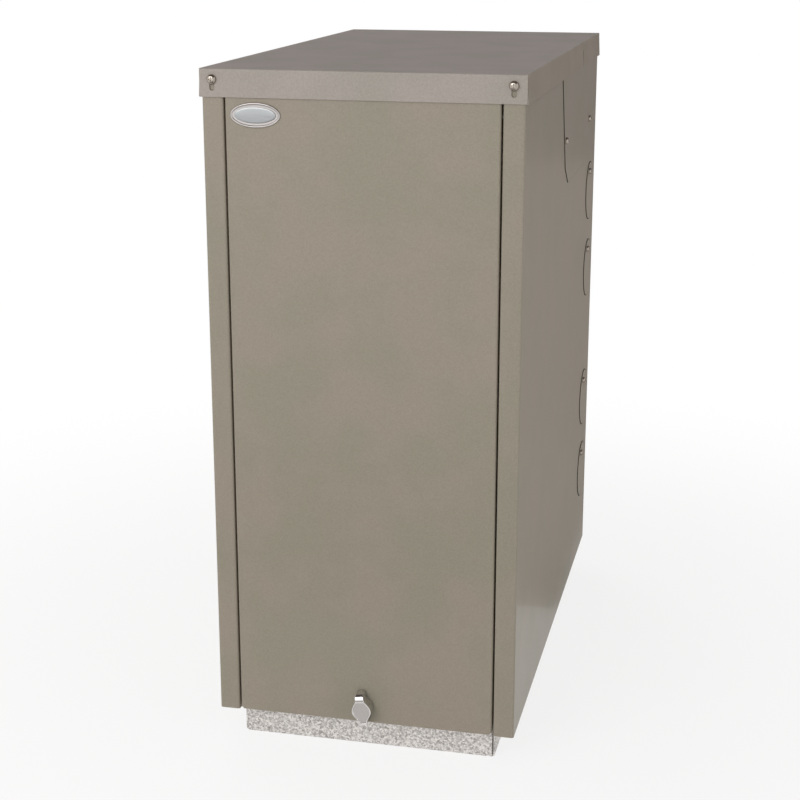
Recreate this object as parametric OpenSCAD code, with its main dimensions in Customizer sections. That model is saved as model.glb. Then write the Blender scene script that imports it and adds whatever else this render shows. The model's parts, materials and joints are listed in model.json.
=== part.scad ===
// Outdoor oil boiler: a folded sheet casing on a zinc plinth, with a hook-on front door,
// a quarter-turn wing lock, and the heat exchanger, oil burner and controls inside.
// Every piece is drawn from the front face of the casing (y = 0), the middle of its width (x = 0)
// and the floor (z = 0). in_frame() then puts the origin under the middle of the whole object.

/* [Casing] */
// Width over the two side panels
casing_w = 400; // [380:5:520]
// Depth from the front flanges to the back of the rear panel
casing_d = 750; // [720:5:900]
// Height of the side panels, from their lower edge to the lid
casing_h = 852; // [845:1:1000]
// Thickness of the painted sheet
sheet_t = 1.5; // [1:0.1:2]
// Inside radius of a fold
bend_r = 1.5; // [0.8:0.1:2.5]
// Width of the flange at each side of the door
flange_w = 27; // [22:1:35]
// Depth of the fold behind each front flange
flange_fold = 20; // [16:1:24]
// Width of the folds at the rear, top and bottom of a side panel
panel_fold = 23; // [16:1:24]
// Height of the rail across the front
rail_h = 24; // [18:1:30]
// Depth of that rail
rail_d = 30; // [24:1:40]
// Width of the rail's top flanges
rail_flange = 12; // [8:1:14]
// Height of the lowest screw of the rear panel above the lower edge of the casing
rear_screw_low = 60; // [40:5:80]
// Distance of the highest one below the top of the side panels
rear_screw_drop = 100; // [60:5:120]

/* [Lid] */
// Height of the lip round the lid, with its sheet
lip_h = 34.5; // [30:0.5:45]
// Gap between the casing and the lip
lid_gap = 0.5; // [0.4:0.1:1.5]
// How much further out the lower edge of a side lip stands
lip_splay = 1.6; // [1.2:0.1:3]
// Distance of a lid screw from the side of the casing
lid_screw_in = 14; // [12:0.5:18]
// Distance of a lid screw below the top of the lid
lid_screw_drop = 13; // [11:0.5:16]
// Width of the slot round a lid screw
lid_slot_w = 6.4; // [6.2:0.1:7]
// Reach of that slot below the screw
lid_slot_drop = 14; // [10:0.5:15]
// Distance of the notch in a side lip from the rear face
notch_back = 212; // [150:1:300]
// Width of that notch
notch_w = 7; // [5:0.5:10]
// Height of that notch
notch_h = 23; // [15:0.5:26]

/* [Plinth] */
// Height of the plinth that shows below the casing
plinth_h = 42; // [30:1:80]
// Inset of the plinth from the side of the casing
plinth_in_x = 28; // [26:1:60]
// Inset of the plinth from the front and rear faces
plinth_in_y = 20; // [10:1:60]
// Thickness of the zinc-coated sheet
zinc_t = 2; // [1.5:0.1:3]
// Width of the slit at each corner of the plinth
corner_slit = 1.5; // [1:0.1:3]
// Width of the foot folded in at the floor
foot_w = 18; // [12:1:30]

/* [Door] */
// Gap between the door and a front flange
door_gap = 2; // [2:0.5:4]
// Depth of the folds round the door
door_fold = 18; // [16:0.5:19]
// How far the door runs up behind the lip
door_tuck = 18; // [10:0.5:20]
// Diameter of a hook peg
peg_d = 6; // [5:0.5:7]
// Distance of the pegs behind the front face
peg_back = 12; // [11:0.5:13]
// Distance of the pegs below the lip
peg_drop = 16; // [12:1:20]
// Radial play of a peg in its hook
peg_play = 0.05; // [0.02:0.01:0.1]
// Thickness of the foam on the door
door_foam_t = 10; // [5:1:12]

/* [Lock] */
// Height of the lock above the lower edge of the door
lock_up = 26; // [24:0.5:40]
// Length of the wing knob
wing_l = 44; // [38:0.5:48]
// Width of the wing knob
wing_w = 26; // [22:0.5:30]
// Width of each end of the wing
wing_end_w = 12; // [9:0.2:14]
// How far the wing stands in front of the door
wing_out = 18.5; // [15:0.5:24]
// Lean of the wing from upright, in degrees
wing_lean = 10; // [0:1:20]
// Diameter of the lock barrel
barrel_d = 18; // [16:0.5:20]
// Diameter of the lock spindle
spindle_d = 8; // [6:0.5:10]
// Radial play of the spindle
spindle_play = 0.05; // [0.02:0.01:0.1]
// Clearance between the tip of the turned cam and the floor tray
cam_clear = 1.5; // [1:0.5:3]
// Width of the cam
cam_w = 12; // [11:0.5:14]
// Thickness of the cam
cam_t = 2.5; // [2:0.5:4]
// Clearance between the lock barrel and the upstand that the cam hooks behind
keeper_gap = 1; // [0.8:0.1:3]
// Gap between that upstand and the end of the barrel, which the cam turns against
cam_gap = 2.6; // [2:0.1:4]

/* [Blank badge] */
// Width of the oval plate
badge_w = 64; // [50:1:80]
// Height of the oval plate
badge_h = 31; // [24:1:40]
// Thickness of the oval plate
badge_t = 2.4; // [1.5:0.1:4]
// Distance of its middle from the left edge of the door
badge_in = 39; // [36:1:60]
// Distance of its middle below the lip
badge_drop = 21; // [19:1:60]

/* [Flue covers] */
// Distance of the middle of a cover from the rear face
cover_back = 242.5; // [220:0.5:260]
// Half length of a cover at its top edge
cover_top = 181; // [150:1:190]
// Half length where the lower corners are cut
cover_mid = 131.5; // [110:0.5:140]
// Half length of the lower edge
cover_low = 99; // [80:1:110]
// Height of the lower edge below the top of the lid
cover_drop = 187.5; // [180:0.5:200]
// Height of the corner cut
cover_cut = 24; // [15:1:35]
// Thickness of covers and blanking discs
cover_t = 1.2; // [0.8:0.1:1.2]
// Distance between the two screws of a cover
cover_screw_gap = 275; // [220:1:280]
// Height of those screws below the top of the lid
cover_screw_drop = 123.5; // [110:0.5:130]

/* [Blanking discs] */
// Radius of a disc
disc_r = 45; // [40:1:50]
// Radius of the pipe hole behind it
pipe_hole_r = 30; // [20:1:32]
// Distance of the discs from the rear face
disc_back = 62; // [55:1:80]
// Height of the lowest disc above the lower edge of the casing
disc_low = 143; // [100:1:160]
// Distance between the two discs of a pair
disc_gap = 125; // [110:1:140]
// Distance from one pair to the next
disc_pair_gap = 343; // [320:1:360]

/* [Screws] */
// Diameter of a lid screw head
lid_head_d = 12; // [10:0.5:13]
// Diameter of the other screw heads
head_d = 10; // [8:0.5:11]
// Height of a screw head
head_h = 4.6; // [3:0.1:6]
// Diameter of a screw shank
shank_d = 5; // [4:0.5:6]
// Play of a shank in its hole, on the radius
shank_play = 0.1; // [0.05:0.05:0.3]
// Length of a screw shank
shank_l = 9; // [7:0.5:12]

/* [Insulation] */
// Thickness of the foam inside the side panels
foam_t = 10; // [6:1:14]
// Thickness of the foam under the lid
lid_foam_t = 10; // [6:1:14]

/* [Heat exchanger] */
// Width of the shell
shell_w = 300; // [260:5:310]
// Depth of the shell
shell_d = 360; // [340:5:380]
// Height of the shell
shell_h = 615; // [600:5:630]
// Space between the shell and the rear face
shell_back = 60; // [55:1:70]
// Plate thickness of the shell
shell_t = 4; // [3:0.5:6]
// Radius of the upright edges of the shell
shell_r = 22; // [12:1:30]
// Height of the cradle under the shell
cradle_h = 38; // [30:1:45]
// Width of the firebox inside the shell
fire_w = 208; // [190:1:220]
// Water space in front of, behind and below the firebox
water_gap = 36; // [25:1:40]
// Plate thickness of the firebox
fire_t = 6; // [4:0.5:8]
// Height of the front mouth of the firebox
mouth_h = 200; // [180:1:210]
// Depth of the ceramic block in the mouth
block_d = 32; // [24:2:40]
// Number of baffles
baffle_n = 4; // [2:1:4]
// Distance from one baffle to the next
baffle_gap = 62; // [50:1:64]
// Thickness of a baffle
baffle_t = 4; // [3:0.5:5]
// Thickness of the top plate
top_t = 6; // [5:0.5:10]
// Radius of the flow and return sockets
socket_r = 20; // [16:1:22]

/* [Condenser and flue] */
// Width of the condenser
cond_w = 230; // [200:5:240]
// Depth of the condenser
cond_d = 210; // [180:5:230]
// Height of the condenser
cond_h = 104; // [96:2:120]
// Outer radius of the flue spigot
flue_r = 40; // [35:1:42]
// Wall of the flue spigot
flue_t = 1.5; // [1.2:0.1:3]
// How far the flue spigot stands out behind the casing
flue_out = 36; // [30:1:60]
// Height of the collar on the rear panel
collar_h = 7; // [5:0.5:10]
// Width of the collar round the spigot on the rear panel
collar_w = 16; // [10:1:20]

/* [Burner] */
// Width of the fan blades
fan_w = 46; // [36:1:50]
// Outer radius of the fan wheel
fan_r = 60; // [54:1:62]
// Number of fan blades
blade_n = 28; // [12:1:32]
// Gap from the wheel to the start of the scroll
scroll_gap = 6; // [5:0.5:8]
// Growth of the scroll over three quarters of a turn
scroll_grow = 24; // [20:1:26]
// Wall of the cast housing
cast_t = 4; // [3:0.5:5]
// Outer radius of the blast tube
tube_r = 42; // [38:1:43]
// Wall of the blast tube
tube_t = 2; // [1.5:0.5:3]
// Reach of the blast tube into the firebox
tube_in = 95; // [60:1:120]
// Radius of the air inlet
inlet_r = 44; // [38:1:48]
// Radius of the motor
motor_r = 45; // [40:1:48]
// Length of the motor
motor_l = 92; // [80:1:100]
// Radius of the motor shaft
shaft_r = 6; // [5:0.5:8]
// Radial play of the shaft in its bearings
shaft_play = 0.05; // [0.02:0.01:0.1]
// Size of the square oil pump
pump_s = 46; // [40:1:50]

/* [Oil line] */
// Radius of the oil pipe
oil_r = 5; // [4:0.5:6]
// Bend radius of the oil pipe
oil_bend = 25; // [18:1:30]
// Distance of the isolating valve behind the front face
valve_back = 82; // [76:1:110]
// Height of the isolating valve above the floor tray
valve_up = 72; // [60:1:80]

/* [Controls] */
// Width of the control box
panel_w = 260; // [240:5:300]
// Height of the control box
panel_h = 106; // [90:1:120]
// Depth of the control box
panel_d = 105; // [90:1:130]
// Distance of the control box behind the front face
panel_back = 42; // [40:1:50]
// Distance from one control to the next
control_gap = 62; // [56:1:66]
// Diameter of the thermostat knob
dial_d = 42; // [34:1:46]
// Height of the thermostat knob
dial_h = 19; // [14:1:21]
// Diameter of a reset button
button_d = 10; // [8:0.5:12]
// Travel of a reset button
button_travel = 3; // [2:0.5:4]
// Play round a button or rocker
control_play = 0.4; // [0.3:0.05:0.6]
// Width of the rocker
rocker_w = 18; // [14:1:22]
// Height of the rocker
rocker_h = 26; // [22:1:30]
// Tilt of the rocker each way, in degrees
rocker_tilt = 7; // [5:1:9]

/* [Hidden] */
$fn = 48;

// Clearance between pieces that lie face to face but aren't joined
seat = 0.3;
// Overlap that makes two solids of one piece fuse
fuse = 0.5;
// Overrun of a cutting tool past the face that it cuts
over = 1;

half_w = casing_w / 2;
panel_top = plinth_h + casing_h;
lid_top = panel_top + sheet_t;
lip_z = lid_top - lip_h;
lid_half = half_w + lid_gap + sheet_t;
front_most = -wing_out;
rear_most = casing_d + flue_out;
mid_y = (front_most + rear_most) / 2;

tray_y = door_fold + 4;
tray_z = plinth_h + sheet_t;
floor_z = tray_z + zinc_t;

door_w = casing_w - 2 * (flange_w + door_gap);
door_top = lip_z + door_tuck;
door_h = door_top - plinth_h;
peg_z = lip_z - peg_drop;
lock_z = plinth_h + lock_up;
barrel_l = tray_y + zinc_t + cam_gap;
cam_l = lock_z - floor_z - cam_clear;
upstand_z = lock_z - barrel_d / 2 - keeper_gap;

cover_y = casing_d - cover_back;
cover_hide = 5;
disc_y = casing_d - disc_back;
disc_heights = [for (pair = [0, 1], one = [0, 1])
    plinth_h + disc_low + pair * disc_pair_gap + one * disc_gap];
disc_screw_fore = 16;
disc_screw_up = 33;

shell_y1 = casing_d - shell_back;
shell_y0 = shell_y1 - shell_d;
shell_z0 = floor_z + cradle_h;
shell_z1 = shell_z0 + shell_h;
fire_y0 = shell_y0 + shell_t;
fire_y1 = shell_y1 - shell_t - water_gap;
fire_z0 = shell_z0 + shell_t + water_gap;
mouth_w = fire_w - 2 * fire_t - 16;
mouth_z0 = fire_z0 + fire_t + 8;
plate_t = 8;
plate_margin = 26;
plate_y = shell_y0 - plate_t;
top_z = shell_z1 + top_t;
cond_y1 = shell_y1;
cond_y0 = cond_y1 - cond_d;
trap_y = cond_y1 - cond_d / 2;
trap_r = 15;
trap_drop = 150;
flue_z = top_z + cond_h / 2;
sleeve_r = flue_r + flue_t;
sleeve_end = collar_h + 1;
clean_d = cond_y0 - fire_y0 - 20;

tube_z = mouth_z0 + mouth_h / 2;
scroll_r0 = fan_r + scroll_gap;
scroll_r1 = scroll_r0 + scroll_grow;
flange_t = 8;
flange_half_w = tube_r + 18;
flange_half_h = tube_r + 13;
duct_l = scroll_r1 + 12;
fan_y = plate_y - flange_t - duct_l;
fan_z = tube_z - scroll_r1 + tube_r;
cavity_w = fan_w + 8;
house_w = cavity_w + 2 * cast_t;
bracket_x = house_w / 2;
bracket_l = 26;
pump_x0 = bracket_x + bracket_l;
box_w = 90;
box_d = 84;
box_h = 66;
box_z = fan_z + scroll_r1 + cast_t;
box_y = fan_y - 30;

oil_x = pump_x0 + pump_s / 2;
valve_z = floor_z + valve_up;

rail_z = panel_top - sheet_t - rail_h;
panel_z1 = rail_z;
panel_z0 = panel_z1 - panel_h;
control_z = panel_z0 + panel_h / 2;

// Colours of the finishes
paint = [0.59, 0.56, 0.50];
zinc = [0.74, 0.73, 0.71];
chrome = [0.82, 0.82, 0.83];
steel = [0.62, 0.63, 0.65];
dark_steel = [0.20, 0.20, 0.22];
foam = [0.72, 0.72, 0.74];
brass = [0.78, 0.62, 0.30];
copper = [0.72, 0.45, 0.32];
cast = [0.68, 0.68, 0.70];
black = [0.08, 0.08, 0.09];
red = [0.75, 0.12, 0.10];

// Folded sheet: an outline that follows a bent middle line at half the sheet's thickness each side
function unit(v) = v / norm(v);
function left_of(v) = [-v.y, v.x];
function turned(v, a) = [v.x * cos(a) - v.y * sin(a), v.x * sin(a) + v.y * cos(a)];
function turn_at(p, i) =
    let(a = p[i] - p[i - 1], b = p[i + 1] - p[i]) atan2(a.x * b.y - a.y * b.x, a * b);
function reversed(list) = [for (i = [len(list) - 1:-1:0]) list[i]];
function sheet_side(p, off, rm) = [for (i = [0:len(p) - 1])
    if (i == 0) p[0] + left_of(unit(p[1] - p[0])) * off
    else if (i == len(p) - 1) p[i] + left_of(unit(p[i] - p[i - 1])) * off
    else let(
        d = unit(p[i] - p[i - 1]),
        phi = turn_at(p, i),
        s = sign(phi),
        inward = left_of(d) * s,
        c = p[i] - d * rm * tan(abs(phi) / 2) + inward * rm)
        for (k = [0:4]) c + turned(-inward, phi * k / 4) * (rm - s * off)];

module folded(path, t = sheet_t, r = bend_r) {
    polygon(concat(
        sheet_side(path, t / 2, r + t / 2),
        reversed(sheet_side(path, -t / 2, r + t / 2))));
}

// A profile drawn in Y and Z and run along X from x0 to x1
module along_x(x0, x1) {
    translate([x0, 0, 0]) rotate([90, 0, 90]) linear_extrude(x1 - x0) children();
}

// A profile drawn in X and Z and run along Y from y0 to y1
module along_y(y0, y1) {
    translate([0, y1, 0]) rotate([90, 0, 0]) linear_extrude(y1 - y0) children();
}

module block(x, y, z) {
    translate([x[0], y[0], z[0]]) cube([x[1] - x[0], y[1] - y[0], z[1] - z[0]]);
}

module round_x(x0, x1, r) translate([x0, 0, 0]) rotate([0, 90, 0]) cylinder(r = r, h = x1 - x0);
module round_y(y0, y1, r) translate([0, y0, 0]) rotate([-90, 0, 0]) cylinder(r = r, h = y1 - y0);

module round_rect(w, d, r) {
    square([w - 2 * r, d], center = true);
    square([w, d - 2 * r], center = true);
    for (x = [-1, 1], y = [-1, 1]) translate([x * (w / 2 - r), y * (d / 2 - r)]) circle(r);
}

// A pan head with a cross recess, its seat at z = 0 and its shank below
module pan_screw(d, h, shank, length) {
    difference() {
        rotate_extrude() polygon([
            [0, -length], [shank / 2 - 0.6, -length], [shank / 2, -length + 1], [shank / 2, 0],
            [d / 2, 0], [d / 2, h * 0.35], [d * 0.44, h * 0.66], [d * 0.32, h * 0.88],
            [d * 0.16, h * 0.98], [0, h]]);
        for (a = [0, 90]) rotate(a) translate([-d * 0.24, -0.55, h * 0.45]) cube([d * 0.48, 1.1, h]);
    }
}

module hex_nut(across, h, hole_r) {
    difference() {
        cylinder(d = across / cos(30), h = h, $fn = 6);
        translate([0, 0, -over]) cylinder(r = hole_r, h = h + 2 * over);
    }
}

module on_left(y, z) translate([-half_w, y, z]) rotate([0, -90, 0]) children();
module on_right(y, z) translate([half_w, y, z]) rotate([0, 90, 0]) children();
module in_frame() translate([0, -mid_y, 0]) children();

// Casing

// Zinc-coated plinth: a ring under the floor tray, four skirts with open corners, and folded feet
module plinth() {
    px = half_w - plinth_in_x;
    y0 = plinth_in_y;
    y1 = casing_d - plinth_in_y;
    top = tray_z;
    slit = zinc_t + corner_slit;
    ring_w = foot_w + zinc_t;
    color(zinc) {
        difference() {
            block([-px, px], [y0, y1], [top - zinc_t, top]);
            block([-px + ring_w, px - ring_w], [y0 + ring_w, y1 - ring_w], [0, top + over]);
        }
        for (s = [-1, 1]) scale([s, 1, 1]) along_y(y0 + slit, y1 - slit)
            folded([[px - foot_w, zinc_t / 2], [px - zinc_t / 2, zinc_t / 2],
                [px - zinc_t / 2, top - zinc_t / 2], [px - foot_w, top - zinc_t / 2]], zinc_t);
        for (end = [[y0, 1], [y1, -1]]) along_x(-px + slit, px - slit)
            folded([[end[0] + end[1] * foot_w, zinc_t / 2], [end[0] + end[1] * zinc_t / 2, zinc_t / 2],
                [end[0] + end[1] * zinc_t / 2, top - zinc_t / 2],
                [end[0] + end[1] * foot_w, top - zinc_t / 2]], zinc_t);
    }
}

// Floor tray with the upstand that the lock's cam hooks behind
module floor_tray() {
    x = half_w - sheet_t - seat;
    y1 = casing_d - 2 * sheet_t - bend_r;
    color(zinc) along_x(-x, x)
        folded([[tray_y + zinc_t / 2, upstand_z], [tray_y + zinc_t / 2, tray_z + zinc_t / 2],
            [y1 - zinc_t / 2, tray_z + zinc_t / 2], [y1 - zinc_t / 2, upstand_z]], zinc_t);
}

// Left side panel, folded round the front flange and the rear edge; the right one mirrors it
module side_panel() {
    wall = -half_w + sheet_t / 2;
    rear = casing_d - sheet_t - sheet_t / 2;
    inner = -half_w + flange_w - sheet_t / 2;
    difference() {
        union() {
            translate([0, 0, plinth_h]) linear_extrude(casing_h)
                folded([[inner, flange_fold], [inner, sheet_t / 2], [wall, sheet_t / 2],
                    [wall, rear], [-half_w + panel_fold, rear]]);
            for (z = [plinth_h, panel_top - sheet_t])
                block([-half_w + sheet_t - fuse, -half_w + panel_fold],
                    [flange_fold + over, rear - sheet_t - over], [z, z + sheet_t]);
        }
        for (z = disc_heights) translate([0, disc_y, z])
            round_x(-half_w - over, -half_w + sheet_t + over, pipe_hole_r);
        translate([0, cover_y, flue_z])
            round_x(-half_w - over, -half_w + sheet_t + over, flue_r + 3);
        for (z = disc_heights)
            translate([0, disc_y - disc_screw_fore, z + disc_screw_up])
                round_x(-half_w - over, -half_w + sheet_t + over, shank_d / 2 + shank_play);
        for (s = [-1, 1])
            translate([0, cover_y + s * cover_screw_gap / 2, lid_top - cover_screw_drop])
                round_x(-half_w - over, -half_w + sheet_t + over, shank_d / 2 + shank_play);
        translate([-half_w + lid_screw_in, 0, lid_top - lid_screw_drop])
            round_y(-over, sheet_t + over, shank_d / 2 + shank_play);
        translate([-half_w + flange_w, peg_back, peg_z])
            round_x(-sheet_t - over, over, peg_d / 2 + shank_play);
        for (z = rear_screw_heights) translate([-rear_screw_x, 0, z])
            round_y(rear - sheet_t, casing_d, shank_d / 2 + shank_play);
    }
}
module left_side_panel() color(paint) side_panel();
module right_side_panel() color(paint) mirror([1, 0, 0]) side_panel();

rear_screw_x = half_w - panel_fold / 2;
rear_screw_heights = [for (k = [0:3])
    plinth_h + rear_screw_low + k * (casing_h - rear_screw_low - rear_screw_drop) / 3];
louvre_w = 90;
louvre_n = 6;

// One pressed air louvre, a hood over a slot, open at its lower side
module louvre_hood() {
    along_x(-louvre_w / 2, louvre_w / 2) difference() {
        polygon([[-fuse, 10], [0, 10], [6, 0], [5, 0], [-fuse, 8]]);
        polygon([[-over, -over], [4.2, -over], [4.2, 0], [0, 8.2], [-over, 8.2]]);
    }
}

// Rear panel with the flue hole and two columns of air louvres
module rear_panel() {
    y0 = casing_d - sheet_t;
    color(paint) {
        difference() {
            block([-half_w, half_w], [y0, casing_d], [plinth_h, panel_top]);
            translate([0, 0, flue_z]) round_y(y0 - over, casing_d + over, flue_r + 2);
            for (s = [-1, 1], z = rear_screw_heights) translate([s * rear_screw_x, 0, z])
                round_y(y0 - over, casing_d + over, shank_d / 2 + shank_play);
            for (s = [-1, 1], k = [0:louvre_n - 1])
                translate([s * casing_w / 5, casing_d, plinth_h + 90 + k * 24])
                    block([-louvre_w / 2 + 3, louvre_w / 2 - 3], [-sheet_t - over, over], [1, 7]);
        }
        for (s = [-1, 1], k = [0:louvre_n - 1])
            translate([s * casing_w / 5, casing_d, plinth_h + 90 + k * 24]) louvre_hood();
    }
}

// Lid with down-turned lips; the side lips splay outwards
module lid() {
    y0 = -lid_gap - sheet_t;
    y1 = casing_d + lid_gap + sheet_t;
    fold = lid_gap + sheet_t;
    mid = sheet_t / 2;
    color(paint) difference() {
        union() {
            along_y(y0 + fold, y1 - fold) folded([
                [-lid_half + mid - lip_splay, lip_z], [-lid_half + mid, lid_top - mid],
                [lid_half - mid, lid_top - mid], [lid_half - mid + lip_splay, lip_z]],
                r = lid_gap);
            along_x(-lid_half, lid_half) folded([
                [y0 + mid, lip_z], [y0 + mid, lid_top - mid],
                [y1 - mid, lid_top - mid], [y1 - mid, lip_z]], r = lid_gap);
        }
        for (s = [-1, 1]) translate([s * (half_w - lid_screw_in), 0, lid_top - lid_screw_drop]) {
            round_y(y0 - over, over, lid_slot_w / 2);
            translate([0, 0, -lid_slot_drop + lid_slot_w / 2]) round_y(y0 - over, over, lid_slot_w / 2);
            block([-lid_slot_w / 2, lid_slot_w / 2], [y0 - over, over],
                [-lid_slot_drop + lid_slot_w / 2, 0]);
        }
        translate([0, casing_d - notch_back, lip_z]) {
            block([-casing_w, casing_w], [-notch_w / 2, notch_w / 2], [-over, notch_h - notch_w / 2]);
            translate([0, 0, notch_h - notch_w / 2]) round_x(-casing_w, casing_w, notch_w / 2);
        }
    }
}

// Channel across the casing behind the top of the door
module front_top_rail() {
    x = half_w - sheet_t;
    y0 = panel_back + 4;
    y1 = y0 + rail_d;
    mid = zinc_t / 2;
    top = rail_z + rail_h - mid;
    color(zinc) along_x(-x, x) folded([
        [y0 + rail_flange, top], [y0 + mid, top], [y0 + mid, rail_z + mid],
        [y1 - mid, rail_z + mid], [y1 - mid, top], [y1 - rail_flange, top]], zinc_t);
}

// Two shouldered pegs on the folds of the front flanges, which carry the door's hooks
module hook_pegs() {
    x0 = half_w - flange_w;
    color(steel) for (s = [-1, 1]) scale([s, 1, 1]) translate([0, peg_back, peg_z]) {
        round_x(x0 - door_gap - sheet_t - 5, x0 + sheet_t + 3, peg_d / 2);
        round_x(x0 - door_gap + 0.5, x0, peg_d / 2 + 1.5);
        round_x(x0 + sheet_t, x0 + sheet_t + 3, peg_d / 2 + 2);
    }
}

// Trapezium plate with cut corners that closes the side flue outlet
module flue_cover() {
    top = lip_z + cover_hide;
    low = lid_top - cover_drop;
    linear_extrude(cover_t) difference() {
        polygon([for (p = [[cover_low, low], [cover_mid, low + cover_cut], [cover_top, top],
            [-cover_top, top], [-cover_mid, low + cover_cut], [-cover_low, low]])
            [p.x, p.y - flue_z]]);
        for (s = [-1, 1]) translate([s * cover_screw_gap / 2, lid_top - cover_screw_drop - flue_z])
            circle(shank_d / 2 + shank_play);
    }
}
module left_flue_cover() color(paint) on_left(cover_y, flue_z) rotate(-90) flue_cover();
module right_flue_cover() color(paint) on_right(cover_y, flue_z) rotate(90) flue_cover();

// One blanking disc with a soft edge, its screw hole above and in front of the middle
module blanking_disc(fore) {
    difference() {
        rotate_extrude() polygon([[0, 0], [disc_r, 0], [disc_r, cover_t * 0.5],
            [disc_r - cover_t * 0.5, cover_t], [0, cover_t]]);
        translate([disc_screw_up * fore, disc_screw_fore * -1, -over])
            cylinder(r = shank_d / 2 + shank_play, h = cover_t + 2 * over);
    }
}
module left_blanking_discs()
    color(paint) for (z = disc_heights) on_left(disc_y, z) blanking_disc(1);
module right_blanking_discs()
    color(paint) for (z = disc_heights) on_right(disc_y, z) blanking_disc(-1);

// Screws of the blanking discs, flue covers, lid and rear panel
module disc_screws() {
    color(chrome) for (z = disc_heights) {
        on_left(disc_y - disc_screw_fore, z + disc_screw_up) translate([0, 0, cover_t])
            pan_screw(head_d, head_h, shank_d, shank_l);
        on_right(disc_y - disc_screw_fore, z + disc_screw_up) translate([0, 0, cover_t])
            pan_screw(head_d, head_h, shank_d, shank_l);
    }
}
module flue_cover_screws() {
    color(chrome) for (s = [-1, 1]) {
        on_left(cover_y + s * cover_screw_gap / 2, lid_top - cover_screw_drop)
            translate([0, 0, cover_t]) pan_screw(head_d, head_h, shank_d, shank_l);
        on_right(cover_y + s * cover_screw_gap / 2, lid_top - cover_screw_drop)
            translate([0, 0, cover_t]) pan_screw(head_d, head_h, shank_d, shank_l);
    }
}
module lid_screws() {
    color(chrome) for (s = [-1, 1])
        translate([s * (half_w - lid_screw_in), -lid_gap - sheet_t, lid_top - lid_screw_drop])
            rotate([90, 0, 0]) pan_screw(lid_head_d, head_h, shank_d, shank_l);
}
module rear_panel_screws() {
    color(chrome) for (s = [-1, 1], z = rear_screw_heights)
        translate([s * rear_screw_x, casing_d, z]) rotate([-90, 0, 0])
            pan_screw(head_d, head_h * 0.8, shank_d, shank_l);
}

// Foam boards inside the side panels and under the lid
module side_foam() {
    x0 = -half_w + sheet_t;
    block([x0, x0 + foam_t], [flange_fold + 6, trap_y - trap_r - 10],
        [upstand_z + 6, lid_top - cover_drop - 14]);
}
module left_foam() color(foam) side_foam();
module right_foam() color(foam) mirror([1, 0, 0]) side_foam();
module lid_foam() {
    x = half_w - panel_fold - 6;
    color(foam) block([-x, x], [panel_back + 40, casing_d - panel_fold - 8],
        [panel_top - lid_foam_t, panel_top]);
}

// Door

// The slot in a door fold that hooks over a peg: it opens at the rear and runs up to the peg
module hook_slot() {
    r = peg_d / 2 + peg_play;
    leg = 9;
    translate([0, peg_back, peg_z]) {
        round_x(-over, sheet_t + over, r);
        block([-over, sheet_t + over], [-r, r], [-leg, 0]);
        block([-over, sheet_t + over], [-r, door_fold], [-leg - 2 * r, -leg]);
    }
}

// Door: a pan folded on all four edges, with open corners, two hooks and the lock's hole
module door_panel() {
    x = door_w / 2;
    mid = sheet_t / 2;
    relief = bend_r + sheet_t;
    color(paint) difference() {
        union() {
            translate([0, 0, plinth_h + relief]) linear_extrude(door_h - 2 * relief)
                folded([[-x + mid, door_fold], [-x + mid, mid], [x - mid, mid], [x - mid, door_fold]]);
            along_x(-x + relief, x - relief)
                folded([[door_fold, plinth_h + mid], [mid, plinth_h + mid],
                    [mid, door_top - mid], [door_fold, door_top - mid]]);
        }
        for (s = [-1, 1]) translate([s * (x - mid) - mid, 0, 0]) hook_slot();
        translate([0, 0, lock_z]) round_y(-over, sheet_t + over, barrel_d / 2 + shank_play);
    }
}

// Foam board on the inside of the door, clear of its folds and the lock
module door_foam() {
    x = door_w / 2 - sheet_t - 6;
    color(foam) block([-x, x], [sheet_t, sheet_t + door_foam_t], [lock_z + 30, peg_z - 14]);
}

// Blank oval plate with a raised rim
module badge_plate() {
    k = badge_h / badge_w;
    rim = 4;
    color(chrome) translate([-door_w / 2 + badge_in, 0, lip_z - badge_drop]) rotate([90, 0, 0])
        difference() {
            linear_extrude(badge_t) scale([1, k]) circle(d = badge_w);
            translate([0, 0, badge_t * 0.6]) linear_extrude(badge_t)
                scale([1, (badge_h - rim) / (badge_w - rim)]) circle(d = badge_w - rim);
        }
}

// Lock barrel: a collar in front of the door, a threaded sleeve through it, and a bore
module lock_barrel() {
    color(chrome) translate([0, 0, lock_z]) difference() {
        union() {
            round_y(-2, 0, barrel_d / 2 + 2);
            round_y(-fuse, barrel_l, barrel_d / 2);
        }
        round_y(-2 - over, barrel_l + over, spindle_d / 2 + spindle_play);
    }
}
module lock_nut() {
    color(steel) translate([0, sheet_t, lock_z]) rotate([-90, 0, 0])
        hex_nut(barrel_d + 6, 5, barrel_d / 2 + shank_play);
}

// Outline of the wing: a round middle that draws in to two blunt ends
function wing_half(z) =
    let(u = abs(z) / (wing_l / 2), bulge = (wing_w - wing_end_w) / 2)
    wing_end_w / 2 + bulge * pow(cos(min(u * 1.35, 1) * 90), 1.2);
module wing_outline(shrink = 0) {
    steps = 14;
    reach = wing_l / 2 - shrink;
    heights = [for (k = [-steps:steps]) reach * k / steps];
    polygon(concat(
        [for (z = heights) [wing_half(z) - shrink, z]],
        [for (z = reversed(heights)) [-wing_half(z) + shrink, z]]));
}

// Side profile that the wing is cut to: a block with its upper front edge rounded over
module wing_side(grip, inset = 0) {
    steps = 10;
    round_r = 11;
    arc = [for (k = [0:steps]) let(turn = 90 * k / steps)
        [round_r - grip - (round_r - inset) * cos(turn),
            wing_l / 2 - round_r + (round_r - inset) * sin(turn)]];
    along_x(-wing_w, wing_w)
        polygon(concat([[over, -wing_l], [inset - grip, -wing_l]], arc, [[over, arc[steps][1]]]));
}

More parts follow.
